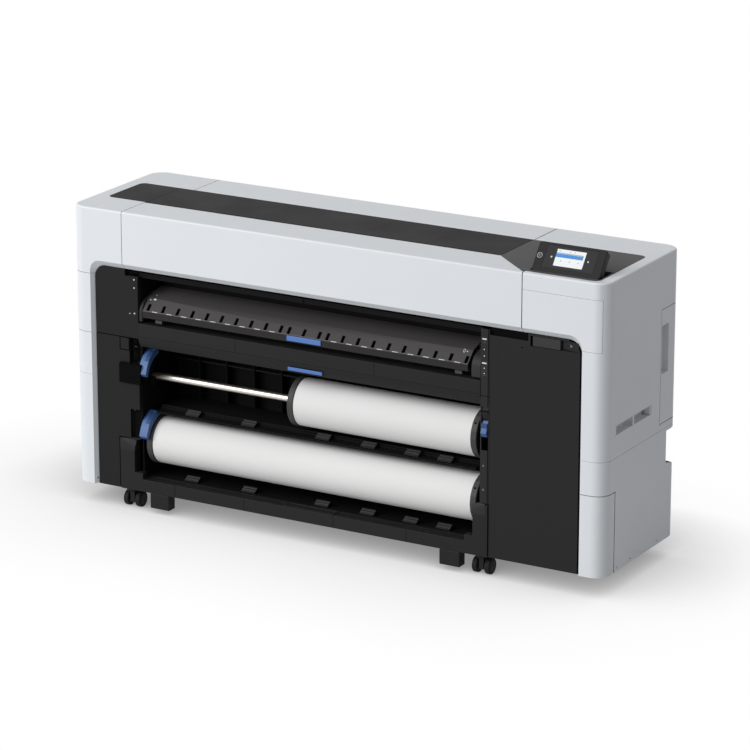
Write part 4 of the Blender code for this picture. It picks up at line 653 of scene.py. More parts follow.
spot.data.transform(Matrix.Translation((PANEL_WIDE * 0.233, PANEL_SLANT * 0.5, 0)))
fit(smooth(tilted(repeat(spot, [(PANEL_WIDE * 0.536, 0, 0)]))), print_and_glint_white, "tray_plastic", "control_panel")
cap = turned("power_cap", [(BUTTON_RADIUS, -0.0035), (BUTTON_RADIUS, 0.0008), (BUTTON_RADIUS - 0.0006, 0.0014),
                           (BUTTON_RADIUS - 0.0014, 0.0015), (0.002, 0.0011)], 32)
fit(smooth(tilted(at_button(cap))), tray_grey, "tray_plastic", "power_button", "power_button")
mark = turned("power_mark", [(0.0026, 0.0008), (0.0026, 0.0015), (0.002, 0.0015), (0.002, 0.0008)], 24, True)
bar = block("bar", (-0.0004, 0.001, 0.0008), (0.0004, 0.0034, 0.00155))
fit(smooth(tilted(at_button(gather([mark, bar])))), page_grey, "tray_plastic", "power_button")
mark = turned("power_rim", [(0.007, -0.0004), (0.0072, 0.0004), (0.0082, 0.0004), (0.0084, -0.0004)], 32, True)
fit(smooth(tilted(at_button(mark))), print_and_glint_white, "tray_plastic", "control_panel")

# Left black fronts: two grained panels beside the roll bay, clipped on behind the white reveal. The lower one
# has finger recesses for the levers and joint lines, the upper one a few small pale marks.


def printed(name, size, places, y_face, finish):
    """Small flat marks with round corners on a front face."""
    wide, tall = size
    first = places[0]
    mark = block(name, (first[0] - wide / 2, y_face - 0.0002, first[1] - tall / 2),
                 (first[0] + wide / 2, y_face + 0.0003, first[1] + tall / 2))
    bevel_edges(mark, lambda a, b: abs(a.y - b.y) > 0.0001, 0.0012, 3)
    repeat(mark, [(x - first[0], 0, z - first[1]) for x, z in places[1:]])
    return fit(smooth(mark), finish, "tray_plastic", "chassis")


upper_low, upper_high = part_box("left_front_panel")
lower_low, lower_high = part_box("left_lower_panel")
y_panel = upper_low.y
guide_low, guide_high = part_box("output_guide")
x_bay = (upper_high.x, guide_high.x + 0.0003)
MARK_Z = (0.7475, 0.7215, 0.64)
left_black = coat("left_black", (0.0084, 0.0084, 0.0088), *GRAINED)
dress("left_front_panel", "left_upper_front", 0.0012, left_black, "black_plastic", "chassis")
printed("left_front_marks", (0.0045, 0.0045), [(x_bay[0] - 0.013, z) for z in MARK_Z], y_panel, print_and_glint_white)
printed("left_front_small_mark", (0.0035, 0.003), [(x_bay[0] - 0.03, 0.638)], y_panel, print_and_glint_white)
SEAM_X = lower_high.x - 0.0683
SQUARE_X = lower_high.x - 0.0334
SQUARE_Z = 0.519
RECESS_TOP = 0.6
NOTCH_X = lower_high.x + PAST
NOTCH_DEEP = 0.012
LINE = 0.0016
LINE_DEEP = 0.0022
front = soften(cast("left_lower_panel", "left_lower_front"), 0.0008)
carve(front, block("corner", (SQUARE_X, y_panel - PAST, SQUARE_Z), (NOTCH_X, y_panel + NOTCH_DEEP, RECESS_TOP)))
grooves(front, left_black,
        *lines(y_panel, LINE_DEEP, (lower_low.x - PAST, SEAM_X, lower_high.z - 0.0014, lower_high.z + PAST),
               (-0.764, -0.759, 0.06, 0.2355), (-0.764, -0.716, 0.23, 0.2355),
               (SEAM_X - LINE, SEAM_X + LINE, SQUARE_Z - LINE, RECESS_TOP),
               (SEAM_X, SQUARE_X + 0.002, SQUARE_Z - LINE, SQUARE_Z + LINE),
               (SQUARE_X - LINE * 2, SQUARE_X + 0.002, SQUARE_Z, RECESS_TOP),
               (SEAM_X, SQUARE_X + 0.002, 0.557, RECESS_TOP)),
        *lines(y_panel, NOTCH_DEEP, (SQUARE_X, NOTCH_X, 0.47, SQUARE_Z),
               (SEAM_X + 0.0012, NOTCH_X, 0.415, 0.478), (SQUARE_X + 0.001, NOTCH_X, 0.237, 0.33)))
fit(smooth(front), left_black, "black_plastic", "chassis", "left_lower_panel")
dim_print = coat("dim_print", (0.075, 0.075, 0.078), 0.5, 0.06, 1500.0, 0.00001, 0.1)
printed("left_notch_marks", (0.004, 0.004), [(-0.7041, 0.5305), (-0.712, 0.3232)],
        y_panel + NOTCH_DEEP - 0.0001, dim_print)

# Right column: black front strip in one piece with the bay's right side plate, with a lever slot, joint lines
# and a column of small pale marks. Two screws hold its lower end.

# Painted shade: the roll bay's inner parts are black plastic made darker than the front black, standing in for the
# shade deep inside the bay.
bay_shade_black = coat("bay_shade_black", (0.0062, 0.0062, 0.0066), 0.6, 0.12, 700.0, 0.00004, 0.05)
COLUMN_LINES = ((0.5647, 0.0009), (0.517, 0.0019))
COLUMN_DEEP = 0.004
DOT_Z = (0.7069, 0.6869, 0.6496, 0.6336)
SHUTTER_ROOM = ((0.511, y_panel + 0.0022, 0.525), (0.5335, y_panel + 0.03, 0.575))


def tone(piece, finish, rule):
    """Gives the faces that a rule picks a finish of their own."""
    piece.data.materials.append(finish)
    for face in piece.data.polygons:
        if rule(face.center, face.normal):
            face.material_index = len(piece.data.materials) - 1


# Grey for the column screws, and for the painted highlight along the guide's front edge.
trim_and_glint_grey = coat("trim_and_glint_grey", (0.17, 0.17, 0.175), *PRINTED)
column_black = coat("column_black", (0.0172, 0.0172, 0.018), *GRAINED)
column = soften(cast("right_column", "right_column_front"), 0.0008)
column_x = (x_bay[1] - 0.001, x_bay[1] + 0.03)
carve(column, block("room", *SHUTTER_ROOM))
grooves(column, column_black,
        *lines(y_panel, LINE_DEEP, *((*column_x, z - half, z + half) for z, half in COLUMN_LINES)),
        *lines(y_panel, COLUMN_DEEP, (x_bay[1] + 0.024, x_bay[1] + 0.0264, 0.1, 0.84)))
# Painted shade: the column's faces turned into the bay, and those set deeper than its grooves, take the bay's
# shaded black.
tone(column, bay_shade_black, lambda centre, normal: normal.x < -0.8 or centre.y > y_panel + COLUMN_DEEP)
fit(smooth(column), column_black, "black_plastic", "chassis", "right_column")
mark_x = x_bay[1] + 0.0117
printed("column_bars", (0.015, 0.0045), [(mark_x, 0.7386), (mark_x, 0.665)], y_panel, print_and_glint_white)
printed("column_dots", (0.0035, 0.0035), [(mark_x, z) for z in DOT_Z], y_panel, print_and_glint_white)
frame_mark = block("column_frames", (mark_x - 0.0075, y_panel - 0.0002, 0.643),
                   (mark_x + 0.0075, y_panel + 0.0003, 0.6562))
carve(frame_mark,
      block("window", (mark_x - 0.0065, y_panel - PAST, 0.644), (mark_x + 0.0065, y_panel + PAST, 0.6552)))
repeat(frame_mark, [(0, 0, -0.016)])
line_mark = block("line_mark", (mark_x - 0.0065, y_panel - 0.0002, 0.727),
                  (mark_x + 0.0065, y_panel + 0.0003, 0.729))
fit(gather([frame_mark, line_mark]), dim_print, "tray_plastic", "chassis")
screws("column_screws", (0, -1, 0), "chassis", [(mark_x, y_panel, 0.3495), (mark_x, y_panel, 0.2748)], 0.0034,
       trim_and_glint_grey)

# Ink door: black panel hinged at its left edge. The pull under its upper edge has a flat plate on the left and
# an open pocket on the right, with a small arrow in it.

door_low, door_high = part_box("ink_door")
DOOR_TOP = 0.754
PULL_X = (0.6772, 0.7672)
PULL_Z = (0.7405, 0.7715)
PULL_DEEP = 0.0095
DOOR_CORNER = 0.04
EDGE_WIDE = 0.0034
EDGE_DEEP = 0.004
door = soften(cast("ink_door", "ink_door_front"), 0.0008)
eye = block("eye", (0.64, y_panel - PAST, 0.7295), (0.646, y_panel + 0.003, 0.733))
bevel_edges(eye, lambda a, b: abs(a.y - b.y) > 0.005, 0.0016, 3)
turn_x, turn_z = door_high.x - DOOR_CORNER, door_high.z - DOOR_CORNER
corner = block("corner", (turn_x, y_panel - PAST, turn_z),
               (door_high.x + PAST, y_panel + EDGE_DEEP, door_high.z + PAST))
inner = turned("round", [(DOOR_CORNER - EDGE_WIDE, -0.05), (DOOR_CORNER - EDGE_WIDE, 0.05)], 64)
carve(corner, aim(inner, (0, 1, 0), (turn_x, y_panel, turn_z)))
score(door, black_front, eye)
grooves(door, black_front,
        *lines(y_panel, PULL_DEEP, (door_low.x - PAST, 0.6628, DOOR_TOP, 0.79),
               (PULL_X[0] - 0.007, PULL_X[1] + 0.002, PULL_Z[0] - 0.0008, PULL_Z[1]),
               (PULL_X[1], 0.8268, PULL_Z[0] + 0.0012, PULL_Z[1])),
        *lines(y_panel, EDGE_DEEP, (door_high.x - EDGE_WIDE, door_high.x + PAST, 0.05, turn_z)))
score(door, black_front, corner)
fit(smooth(door), black_front, "black_plastic", "ink_door", "ink_door")
pull_plate = coat("pull_plate", (0.034, 0.034, 0.035), 0.5, 0.12, 900.0, 0.00004, 0.15)
pull = block("pull_plate", (PULL_X[0], y_panel + 0.0006, PULL_Z[0]),
             (PULL_X[1], y_panel + 0.0094, PULL_Z[1] - 0.001))
add(pull, 0.0012, pull_plate, "black_plastic", "ink_door")
scoop = [(PULL_X[1] + 0.0025, 0.0088), (PULL_X[1] + 0.02, 0.006), (0.81, 0.0028), (0.8262, 0.001),
         (0.8262, 0.0094), (PULL_X[1] + 0.0025, 0.0094)]
scoop = traced("pull_scoop", [(x, y_panel + y, PULL_Z[0] + 0.0014) for x, y in scoop],
               (0, 0, PULL_Z[1] - PULL_Z[0] - 0.003))
fit(smooth(scoop), black_front, "black_plastic", "ink_door")
arrow = [(0.7975, 0.7605), (0.805, 0.757), (0.7975, 0.7535), (0.7975, 0.7547), (0.8022, 0.757), (0.7975, 0.7593)]
arrow = traced("pull_arrow", [(x, y_panel + 0.0052 - (x - 0.7975) * 0.11, z) for x, z in arrow], (0, -0.0016, 0))
fit(arrow, page_grey, "tray_plastic", "ink_door")

# Inner bar: the dark cutter rail that shows under the front cover's lip, an extruded bar in two lengths with a
# step along its lower edge. A thin black baffle behind it closes the paper path, screwed to the frame.

BAR_JOINT = -0.1054
bar_low, bar_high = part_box("cutter_rail")
bar = soften(cast("cutter_rail", "cutter_bar"), 0.0012)
bar_grey = coat("bar_grey", (0.0082, 0.0082, 0.0085), 0.6, 0.12, 800.0, 0.00004, 0.04)
grooves(bar, bar_grey,
        *lines(bar_low.y, 0.002, (BAR_JOINT - LINE, BAR_JOINT + LINE, bar_low.z - PAST, bar_high.z + PAST)),
        *lines(bar_low.y, 0.02, (bar_low.x - PAST, bar_high.x + PAST, bar_low.z - PAST, bar_low.z + 0.006)))
fit(smooth(bar), bar_grey, "black_plastic", "chassis", "cutter_rail")
baffle = block("path_baffle", (bar_low.x + 0.03, -0.1235, 0.706), (bar_high.x - 0.03, -0.1223, 0.7346))
# The baffle takes the bay's black with painted shade.
add(baffle, 0.0003, bay_shade_black, "black_plastic", "chassis", 2)

# Output guide: warm grey slotted moulding that the print slides down, with its front face darker as painted shade.
# Pale dashes between the slots and a pale line along its front edge are painted highlights, a blue grip is clipped
# over the edge, and dark cheeks on the frame close both ends.

GUIDE_X = (-0.671, 0.463)
GUIDE_EDGE = (guide_low.y, 0.651)
CREASE = Vector((0, -0.1975, 0.687))
SLOT_MIDDLE = (guide_low.x + guide_high.x) / 2 - 0.011
SLOT_STEP = 0.0525
SLOT_PAIR = 0.029
guide_grey = coat("guide_grey", (0.06, 0.056, 0.057), 0.42, 0.1, 500.0, 0.00004, 0.15)
guide = cast("output_guide", "slotted_guide")
for low, high in ((guide_low.x - PAST, GUIDE_X[0]), (GUIDE_X[1], guide_high.x + PAST)):
    carve(guide, block("end", (low, guide_low.y - PAST, guide_low.z - 0.02),
                       (high, guide_high.y + PAST, guide_high.z + 0.02)))
fit(smooth(soften(guide, 0.0008, 2)), guide_grey, "guide_plastic", "output_guide", "output_guide")
# Painted shade: the guide's front face below its edge takes a darker copy of its grey.
guide_shade = coat("guide_shade", (0.025, 0.0235, 0.024), 0.42, 0.1, 500.0, 0.00004, 0.1)
tone(guide, guide_shade, lambda centre, normal: normal.y < -0.9 and centre.z < GUIDE_EDGE[1])
gaps = [SLOT_MIDDLE + side * (SLOT_STEP * 1.5 + SLOT_PAIR + SLOT_STEP * place)
        for side in (-1, 1) for place in range(10)]
gaps += [SLOT_MIDDLE + side * SLOT_STEP / 2 for side in (-1, 1)]
gaps = [x for x in sorted(gaps) if not -0.165 < x < -0.03 and GUIDE_X[0] + 0.012 < x < GUIDE_X[1] - 0.012]
band = Vector((0, -1, 1)).normalized()
# Painted highlight: pale dashes on the guide's front edge between the slots stand in for the light that the rounded
# edge catches.
glint = soften(block("edge_glints", (-0.0095, -0.0011, -0.0006), (0.0095, 0.0011, 0.0006)), 0.0004, 2)
aim(glint, band, (gaps[0], GUIDE_EDGE[0] + 0.002, GUIDE_EDGE[1] + 0.002))
repeat(glint, [(x - gaps[0], 0, 0) for x in gaps[1:]])
fit(smooth(glint), print_and_glint_white, "tray_plastic", "output_guide")
# Painted highlight: a pale grey line along the guide's front edge stands in for the light on its rounded edge.
trim = soften(block("edge_glint_line", (GUIDE_X[0] + 0.001, -0.0005, -0.0004), (GUIDE_X[1] - 0.001, 0.0005, 0.0003)),
              0.0002, 2)
fit(smooth(aim(trim, band, (0, GUIDE_EDGE[0] + 0.002, GUIDE_EDGE[1] + 0.002))), trim_and_glint_grey, "tray_plastic",
    "output_guide")
SATIN = (0.42, 0.06, 900.0, 0.00003, 0.3)
blue_grip = coat("blue_grip", (0.085, 0.185, 0.47), *SATIN)
GRIP_X = (-0.1536, -0.035)
grip = [(-0.0033, -0.016), (-0.0033, -0.0018), (-0.0018, -0.0004), (-0.0001, -0.0004), (-0.0001, -0.016)]
grip = drawn("guide_grip", *GRIP_X, grip, *GUIDE_EDGE)
add(grip, 0.0007, blue_grip, "blue_plastic", "output_guide", 2)
upper = Vector((0, -0.021, 0.07)).normalized()
marks = []
for x, y, facing, wide, deep in ((-0.6501, -0.1826, upper, 0.0022, 0.0022), (-0.6449, -0.2009, band, 0.005, 0.003),
                                 (-0.6595, -0.2028, band, 0.002, 0.002), (0.4461, -0.2031, band, 0.002, 0.002)):
    dot = turned("guide_marks", [(1.0, -0.0004), (1.0, 0.0002), (0.8, 0.00025)], 20)
    dot.data.transform(Matrix.Diagonal((wide, deep, 1, 1)))
    along = (y - CREASE.y) * (0.3 if facing is upper else 1.0)
    marks.append(aim(dot, facing, (x, y, CREASE.z + along)))
ring = turned("ring", [(1.0, -0.0004), (1.0, 0.0002), (0.72, 0.0002), (0.72, -0.0004)], 24, True)
ring.data.transform(Matrix.Diagonal((0.0036, 0.006, 1, 1)))
marks.append(aim(ring, band, (0.436, -0.2024, CREASE.z - 0.0049)))
fit(smooth(gather(marks)), print_and_glint_white, "tray_plastic", "output_guide")
clip = block("guide_clips", (0.418, -0.229, 0.617), (0.4415, -0.218, 0.6275))
soften(clip, 0.001, 2)
repeat(clip, [(-1.0454, 0, 0)])
fit(smooth(clip), guide_grey, "guide_plastic", "output_guide")
pocket_grey = coat("pocket_grey", (0.03, 0.03, 0.031), 0.5, 0.12, 700.0, 0.00004, 0.12)
profile = [(-0.2325, 0.615), (-0.2325, 0.648), (-0.229, 0.661), (-0.22, 0.674), (-0.205, 0.682), (-0.15, 0.6985),
           (-0.15, 0.615)]
for name, low, high in (("guide_left_cheek", x_bay[0] + 0.0004, -0.673),
                        ("guide_right_cheek", 0.474, x_bay[1] - 0.0004)):
    add(drawn(name, low, high, profile), 0.004, pocket_grey, "black_plastic", "chassis", 4)

# Beam and guide flap: the black moulded beam under the guide in three lengths, and the curled flap hinged along
# its lower edge, with a blue grip bar clipped on.

BEAM_JOINTS = (-0.3356, 0.1494)
BEAM_LINE = 0.0006
beam_low, beam_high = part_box("roll_cover_beam")
flap_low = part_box("roll_guide_flap")[0]
beam = soften(cast("roll_cover_beam", "roll_beam"), 0.0012)
joints = [(x - BEAM_LINE, x + BEAM_LINE, beam_low.z - PAST, beam_high.z + PAST) for x in BEAM_JOINTS]
grooves(beam, black_front,
        *lines(beam_low.y, 0.002, *joints,
               (beam_low.x - PAST, beam_high.x + PAST, beam_low.z - PAST, beam_low.z + 0.001)))
fit(smooth(beam), black_front, "black_plastic", "chassis", "roll_cover_beam")
dress("roll_guide_flap", "guide_flap", 0.001, black_front, "black_plastic", "roll_guide_flap")
bar = [(-0.0022, 0.018), (-0.0016, 0.0195), (0.002, 0.0195), (0.0035, 0.0092), (0.0003, 0.0085), (-0.0012, 0.0092)]
bar = drawn("flap_grip", -0.1484, -0.0297, bar, flap_low.y, flap_low.z)
add(bar, 0.0006, blue_grip, "blue_plastic", "roll_guide_flap", 2)

# Roll bay: the ribbed black back wall with cross ribs between its uprights, and the shelf under the upper roll
# with a stepped bar and small ribbed pads on its front edge.

wall_low, wall_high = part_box("bay_back_wall")
shelf_low, shelf_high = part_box("roll_shelf")
# The bay's wall, the shelf and the bar on it take the bay's black with painted shade.
dress("bay_back_wall", "bay_wall", 0.0008, bay_shade_black, "black_plastic", "chassis", 2)
RIBS = 12
pitch = (wall_high.x - wall_low.x) / RIBS
rib_grey = coat("rib_grey", (0.02, 0.02, 0.021), 0.5, 0.12, 700.0, 0.00004, 0.1)
cross = block("bay_cross_ribs", (wall_low.x + 0.0045, wall_low.y + 0.003, 0.452),
              (wall_low.x + pitch - 0.0045, wall_high.y - 0.0045, 0.456))
soften(cross, 0.0006, 2)
rows = [(step * pitch, 0, rise) for rise in (0.0, 0.06, -0.18, -0.25) for step in range(RIBS)]
repeat(cross, rows[1:])
fit(smooth(cross), rib_grey, "black_plastic", "chassis")
dress("roll_shelf", "upper_shelf", 0.0008, bay_shade_black, "black_plastic", "chassis")


def ribbed_pad(name, centre, finish, places):
    """A pad with three ribs along it, each higher than the one before, repeated along a shelf."""
    x, y, z = centre
    profile = ((-0.012, 0.0), (-0.012, 0.006), (-0.0095, 0.0085), (-0.006, 0.006), (-0.0045, 0.0105),
               (-0.001, 0.013), (0.002, 0.0105), (0.0035, 0.015), (0.007, 0.0175), (0.0105, 0.015),
               (0.012, 0.009), (0.012, 0.0))
    pad = soften(drawn(name, x - 0.024, x + 0.024, profile, y, z), 0.0007, 2)
    repeat(pad, [(place - x, 0, 0) for place in places])
    return fit(smooth(pad), finish, "black_plastic", "chassis")


PAD_Y = -0.183
UPPER_PADS = (-0.522, -0.32, -0.0565, 0.1026, 0.2532, 0.3656)
LOWER_PADS = (-0.528, -0.322, -0.062, 0.098, 0.247, 0.361)
pad_rubber = coat("pad_rubber", (0.0085, 0.0085, 0.0088), 0.42, 0.1, 900.0, 0.00005, 0.12)
ribbed_pad("upper_pads", (UPPER_PADS[0], PAD_Y, 0.3235), pad_rubber, UPPER_PADS[1:])
step = ((-0.17, 0.324), (-0.17, 0.331), (-0.164, 0.331), (-0.164, 0.336), (-0.156, 0.336), (-0.156, 0.325))
step = drawn("shelf_bar", shelf_low.x + 0.002, shelf_high.x - 0.002, step)
add(step, 0.001, bay_shade_black, "black_plastic", "chassis")

# Lower roll unit: the black front beam in five lengths with a bracket at each end, the flat tray behind it,
# ribbed pads and a small plate in the tray.

LOWER_JOINTS = (-0.5592, -0.3083, 0.0079, 0.2613)
base_low, base_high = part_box("lower_front_beam")
z_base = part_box("base_frame")[1].z
beam = soften(cast("lower_front_beam", "lower_beam"), 0.0012)
joints = [(x - BEAM_LINE, x + BEAM_LINE, base_low.z - PAST, z_base + PAST) for x in LOWER_JOINTS]
grooves(beam, black_front, *lines(base_low.y, 0.002, *joints))
fit(smooth(beam), black_front, "black_plastic", "chassis", "lower_front_beam")


def slanted(name, low, high, corners):
    """A block cut off along the plane through three corners, with everything above it taken away."""
    first, second, third = (Vector(corner) for corner in corners)
    along = (second - first).normalized() * 0.2
    facing = (second - first).cross(third - first).normalized()
    facing *= 1 if facing.z > 0 else -1
    up = facing.cross(along.normalized()) * 0.2
    tool = traced("tool", [first - along - up, first + along * 2 - up, first + along * 2 + up, first - along + up],
                  facing * 0.2)
    return carve(block(name, low, high), tool)


z_bracket, front_y = base_high.z, base_low.y - 0.0002
left_facet = slanted("left_bracket_cap", (-0.7588, front_y, 0.195), (-0.7048, -0.216, z_bracket - 0.0002),
                     ((-0.7589, front_y, 0.2295), (-0.7045, front_y, 0.204), (-0.7167, -0.2288, z_bracket)))
right_facet = slanted("right_bracket_cap", (0.4812, front_y, 0.195), (0.5278, -0.2312, z_bracket - 0.0002),
                      ((0.527, front_y, 0.229), (0.4811, front_y, 0.2045), (0.4912, -0.2288, z_bracket)))
for facet in (left_facet, right_facet):
    add(facet, 0.0006, column_black, "black_plastic", "chassis", 2)
steps = [soften(block("bracket_steps", (low, front_y, z_base - 0.001), (high, -0.216, 0.1268)), 0.001, 2)
         for low, high in ((-0.71, -0.6765), (0.4582, 0.49))]
fit(smooth(gather(steps)), black_front, "black_plastic", "chassis")
floor_low = (x_bay[0] + 0.002, base_high.y + 0.0005, z_base + 0.0003)
tray = block("lower_tray", floor_low, (x_bay[1] - 0.002, wall_low.y - 0.0005, z_base + 0.0035))
dish(tray, (0, 0, 1), 0.006, 0.002)
# The lower tray takes the bay's black with painted shade.
add(tray, 0.0005, bay_shade_black, "black_plastic", "chassis", 2)
ribbed_pad("lower_pads", (LOWER_PADS[0], PAD_Y, z_base + 0.0016), pad_rubber, LOWER_PADS[1:])
lid_plate = block("tray_plate", (-0.168, -0.237, z_base + 0.0002), (0.008, -0.2015, z_base + 0.0022))
dish(lid_plate, (0, 0, 1), 0.005, 0.0012)
add(lid_plate, 0.0006, black_front, "black_plastic", "chassis", 2)

# Paper rolls: white paper wound on a board core, on a bright steel rod with a fixed flange on the right and a
# sliding flange on the left. The flanges are dark mouldings with ribs between hub and rim.

DRAWN_METAL = (0.1, 300.0, 0.00002, 0.5, 1.0)
ROD_RADIUS = 0.01175
CORE = 0.0254
BOARD = 0.0285
FLANGE_WIDE = 0.02
flange_grey = coat("flange_grey", (0.052, 0.05, 0.05), 0.45, 0.12, 800.0, 0.00004, 0.15)
rod_steel = coat("rod_steel", (0.58, 0.55, 0.5), 0.36, *DRAWN_METAL, strength=0.3, Scale=(0.05, 1.0, 1.0))
core_board = coat("core_board", (0.3, 0.2, 0.12), 0.8, 0.18, 350.0, 0.0001, 0.15)


def flange(name, radius, bore, steps):
    """A ribbed flange with a hub, its inner face at the origin and its hub reaching into the core."""
    ring = turned(name, [(bore, -0.03), (CORE - 0.0005, -0.03), (CORE - 0.0003, -0.029), (CORE - 0.0003, 0.0),
                         (radius - 0.0015, 0.0), (radius, 0.0015), (radius, 0.0185), (radius - 0.0015, FLANGE_WIDE),
                         (radius - 0.01, FLANGE_WIDE), (radius - 0.012, 0.013), (0.03, 0.013), (0.028, FLANGE_WIDE),
                         (bore, FLANGE_WIDE)], steps, True)
    rib = soften(block("rib", (0.0285, -0.0016, 0.012), (radius - 0.011, 0.0016, 0.0185)), 0.0005, 2)
    repeat(rib, [Matrix.Rotation(radians(30 * place), 4, "Z") for place in range(1, 12)])
    return gather([ring, rib])


for level, roll_body, flange_body in (("upper", "upper_roll", "upper_flange"),
                                      ("lower", "lower_roll", "lower_roll")):
    paper_low, paper_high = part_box(level + "_paper_roll")
    rod_low, rod_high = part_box(level + "_spindle")
    flange_low, flange_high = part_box(level + "_flange")
    axis = ((paper_low.y + paper_high.y) / 2, (paper_low.z + paper_high.z) / 2)
    roll_radius = (paper_high.z - paper_low.z) / 2
    rim = (flange_high.z - flange_low.z) / 2
    long = paper_high.x - paper_low.x
    paper_white = coat(level + "_paper", (0.8, 0.8, 0.795), 0.78, 0.03, 450.0, 0.00003, 0.2, strength=0.4,
                       layers=0.06, Location=(0, -axis[0], -axis[1]))
    paper = turned(level + "_paper",
                   [(BOARD, 0.0), (roll_radius - 0.0004, 0.0), (roll_radius, 0.0004), (roll_radius, long - 0.0004),
                    (roll_radius - 0.0004, long), (BOARD, long)], 96, True)
    fit(smooth(aim(paper, (1, 0, 0), (paper_low.x, *axis))), paper_white, "paper_white", roll_body,
        level + "_paper_roll")
    core = turned(level + "_core", [(CORE, 0.0), (BOARD, 0.0), (BOARD, long), (CORE, long)], 48, True)
    fit(smooth(aim(core, (1, 0, 0), (paper_low.x, *axis))), core_board, "paper_white", roll_body)
    reach = rod_high.x - rod_low.x
    rod = turned(level + "_rod", [(ROD_RADIUS - 0.002, 0.0), (ROD_RADIUS, 0.002), (ROD_RADIUS, reach - 0.002),
                                  (ROD_RADIUS - 0.002, reach)], 40)
    fit(smooth(aim(rod, (1, 0, 0), (rod_low.x, *axis))), rod_steel, "spindle_steel", roll_body, level + "_spindle")
    right = aim(flange(level + "_right_flange", rim, ROD_RADIUS, 20), (1, 0, 0), (paper_high.x + 0.0003, *axis))
    hole = aim(turned("hole", [(0.0035, -0.004), (0.0035, 0.004)], 16), (0, -0.8, 0.6),
               (paper_high.x + 0.0105, axis[0] - rim * 0.8, axis[1] + rim * 0.6))
    score(right, flange_grey, hole)
    fit(smooth(right, 12), flange_grey, "black_plastic", roll_body)
    left = aim(flange(level + "_left_flange", rim, ROD_RADIUS + 0.0003, 64), (-1, 0, 0),
               (paper_low.x - 0.0003, *axis))
    fit(smooth(left), flange_grey, "black_plastic", flange_body, level + "_flange")

# Lock levers: curved blue mouldings pinned at the spindle ends, in a blue darkened as painted shade, with a field
# and ridges along the outer curve for the finger in a still darker painted shade. The right one ends in a flat
# paddle in that painted shade, and its curved black shutter closes the slot above.

LEVER_LONG = 0.068
PIVOT = (-0.1708, 0.091)
SHUTTER = (0.063, 0.0615)
SWEEP = (147, 211)
# Painted shade: the levers take the grip's blue darkened for the shade in the bay, and the field, ridges and paddle
# a still darker blue.
lever_blue_shaded = coat("lever_blue_shaded", (0.047, 0.108, 0.27), *SATIN)
ridge_blue_shaded = coat("ridge_blue_shaded", (0.026, 0.064, 0.18), *SATIN)
for side, level in (("left", "upper"), ("left", "lower"), ("right", "upper")):
    name = f"{side}_{level}_lever"
    lever_low, lever_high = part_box(name)
    pivot = Vector((0, PIVOT[0], sum(point.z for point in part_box(level + "_spindle")) / 2 + PIVOT[1]))
    dress(name, name + "_arm", 0.0022, lever_blue_shaded, "blue_plastic", name)
    strips = []
    for left, wide, proud in ((0.5, 0.48, 0.0003), (0.58, 0.06, 0.001), (0.72, 0.06, 0.001), (0.86, 0.06, 0.001)):
        outline = []
        for lift, steps in ((proud, range(9)), (-0.0015, range(8, -1, -1))):
            for part in (0.14 + 0.055 * step for step in steps):
                outward = 0.7071 * (0.014 * sin(pi * part) + 0.012 - 0.0045 * part + lift)
                outline.append((-LEVER_LONG * part - outward, -LEVER_LONG * part + outward))
        span = lever_high.x - lever_low.x
        start = lever_low.x + span * left
        strips.append(drawn(name + "_strips", start, start + span * wide, outline, pivot.y, pivot.z))
    fit(smooth(gather(strips)), ridge_blue_shaded, "blue_plastic", name)
paddle = block("right_lever_paddle", (lever_low.x + 0.0004, -0.2385, 0.4395), (lever_high.x - 0.0004, -0.234, 0.48))
add(paddle, 0.0012, ridge_blue_shaded, "blue_plastic", name)
shutter = [point for radius, ends in ((SHUTTER[0], SWEEP), (SHUTTER[1], SWEEP[::-1]))
           for point in arc((pivot.y, pivot.z), radius, *ends, 12)]
shutter = drawn("right_lever_shutter", lever_low.x + 0.0002, lever_high.x - 0.0002, shutter)
grooves(shutter, black_front,
        ((lever_low.x - PAST, pivot.y - 0.09, 0.5151), (lever_high.x + PAST, pivot.y - 0.062, 0.5189)))
fit(smooth(shutter), black_front, "black_plastic", name)

# Print unit under the lid: ribbed platen, steel feed roller, aluminium rail, toothed belt with its pulley and
# motor, and the black carriage with a lighter cap. Sheet-metal and moulded parts screwed to the frame.

rail_aluminium = coat("rail_aluminium", (0.56, 0.57, 0.58), 0.34, *DRAWN_METAL, strength=0.3,
                      Scale=(0.04, 1.0, 1.0))
belt_rubber = coat("belt_rubber", (0.014, 0.014, 0.014), 0.75, 0.1, 700.0, 0.00006, 0.15)
TROUGHS = 34
TROUGH_STEP = 0.0343
platen_low, platen_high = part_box("platen")


def paint(finish, *names):
    """Gives CAD nodes that stay as they are a finish of their own."""
    for name in names:
        for slot in frame["nodes"][name].material_slots:
            slot.material = finish


bed = soften(cast("platen", "print_bed"), 0.001)
trough = block("trough", (platen_low.x + 0.012, platen_low.y + 0.03, platen_high.z - 0.003),
               (platen_low.x + 0.04, platen_low.y + 0.046, platen_high.z + PAST))
carve(bed, repeat(trough, [(TROUGH_STEP * place, 0, 0) for place in range(1, TROUGHS)]))
# The platen takes the bay's black with painted shade.
fit(smooth(bed), bay_shade_black, "painted_steel", "chassis", "platen")
paint(rod_steel, "feed_roller")
paint(rail_aluminium, "carriage_rail", "drive_pulley")
paint(belt_rubber, "carriage_belt")
paint(painted_steel, "carriage_motor", "base_frame")
# The left frame plate takes the bay's black with painted shade.
paint(bay_shade_black, "left_frame_plate")
car_low, car_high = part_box("carriage")
dress("carriage", "carriage_body", 0.0025, black_front, "black_plastic", "carriage")
cap = block("carriage_cap", (car_low.x + 0.01, car_low.y + 0.008, car_high.z - 0.0005),
            (car_high.x - 0.01, car_high.y - 0.06, car_high.z + 0.004))
dish(cap, (0, 0, 1), 0.006, 0.0015)
add(cap, 0.0008, tray_grey, "tray_plastic", "carriage")

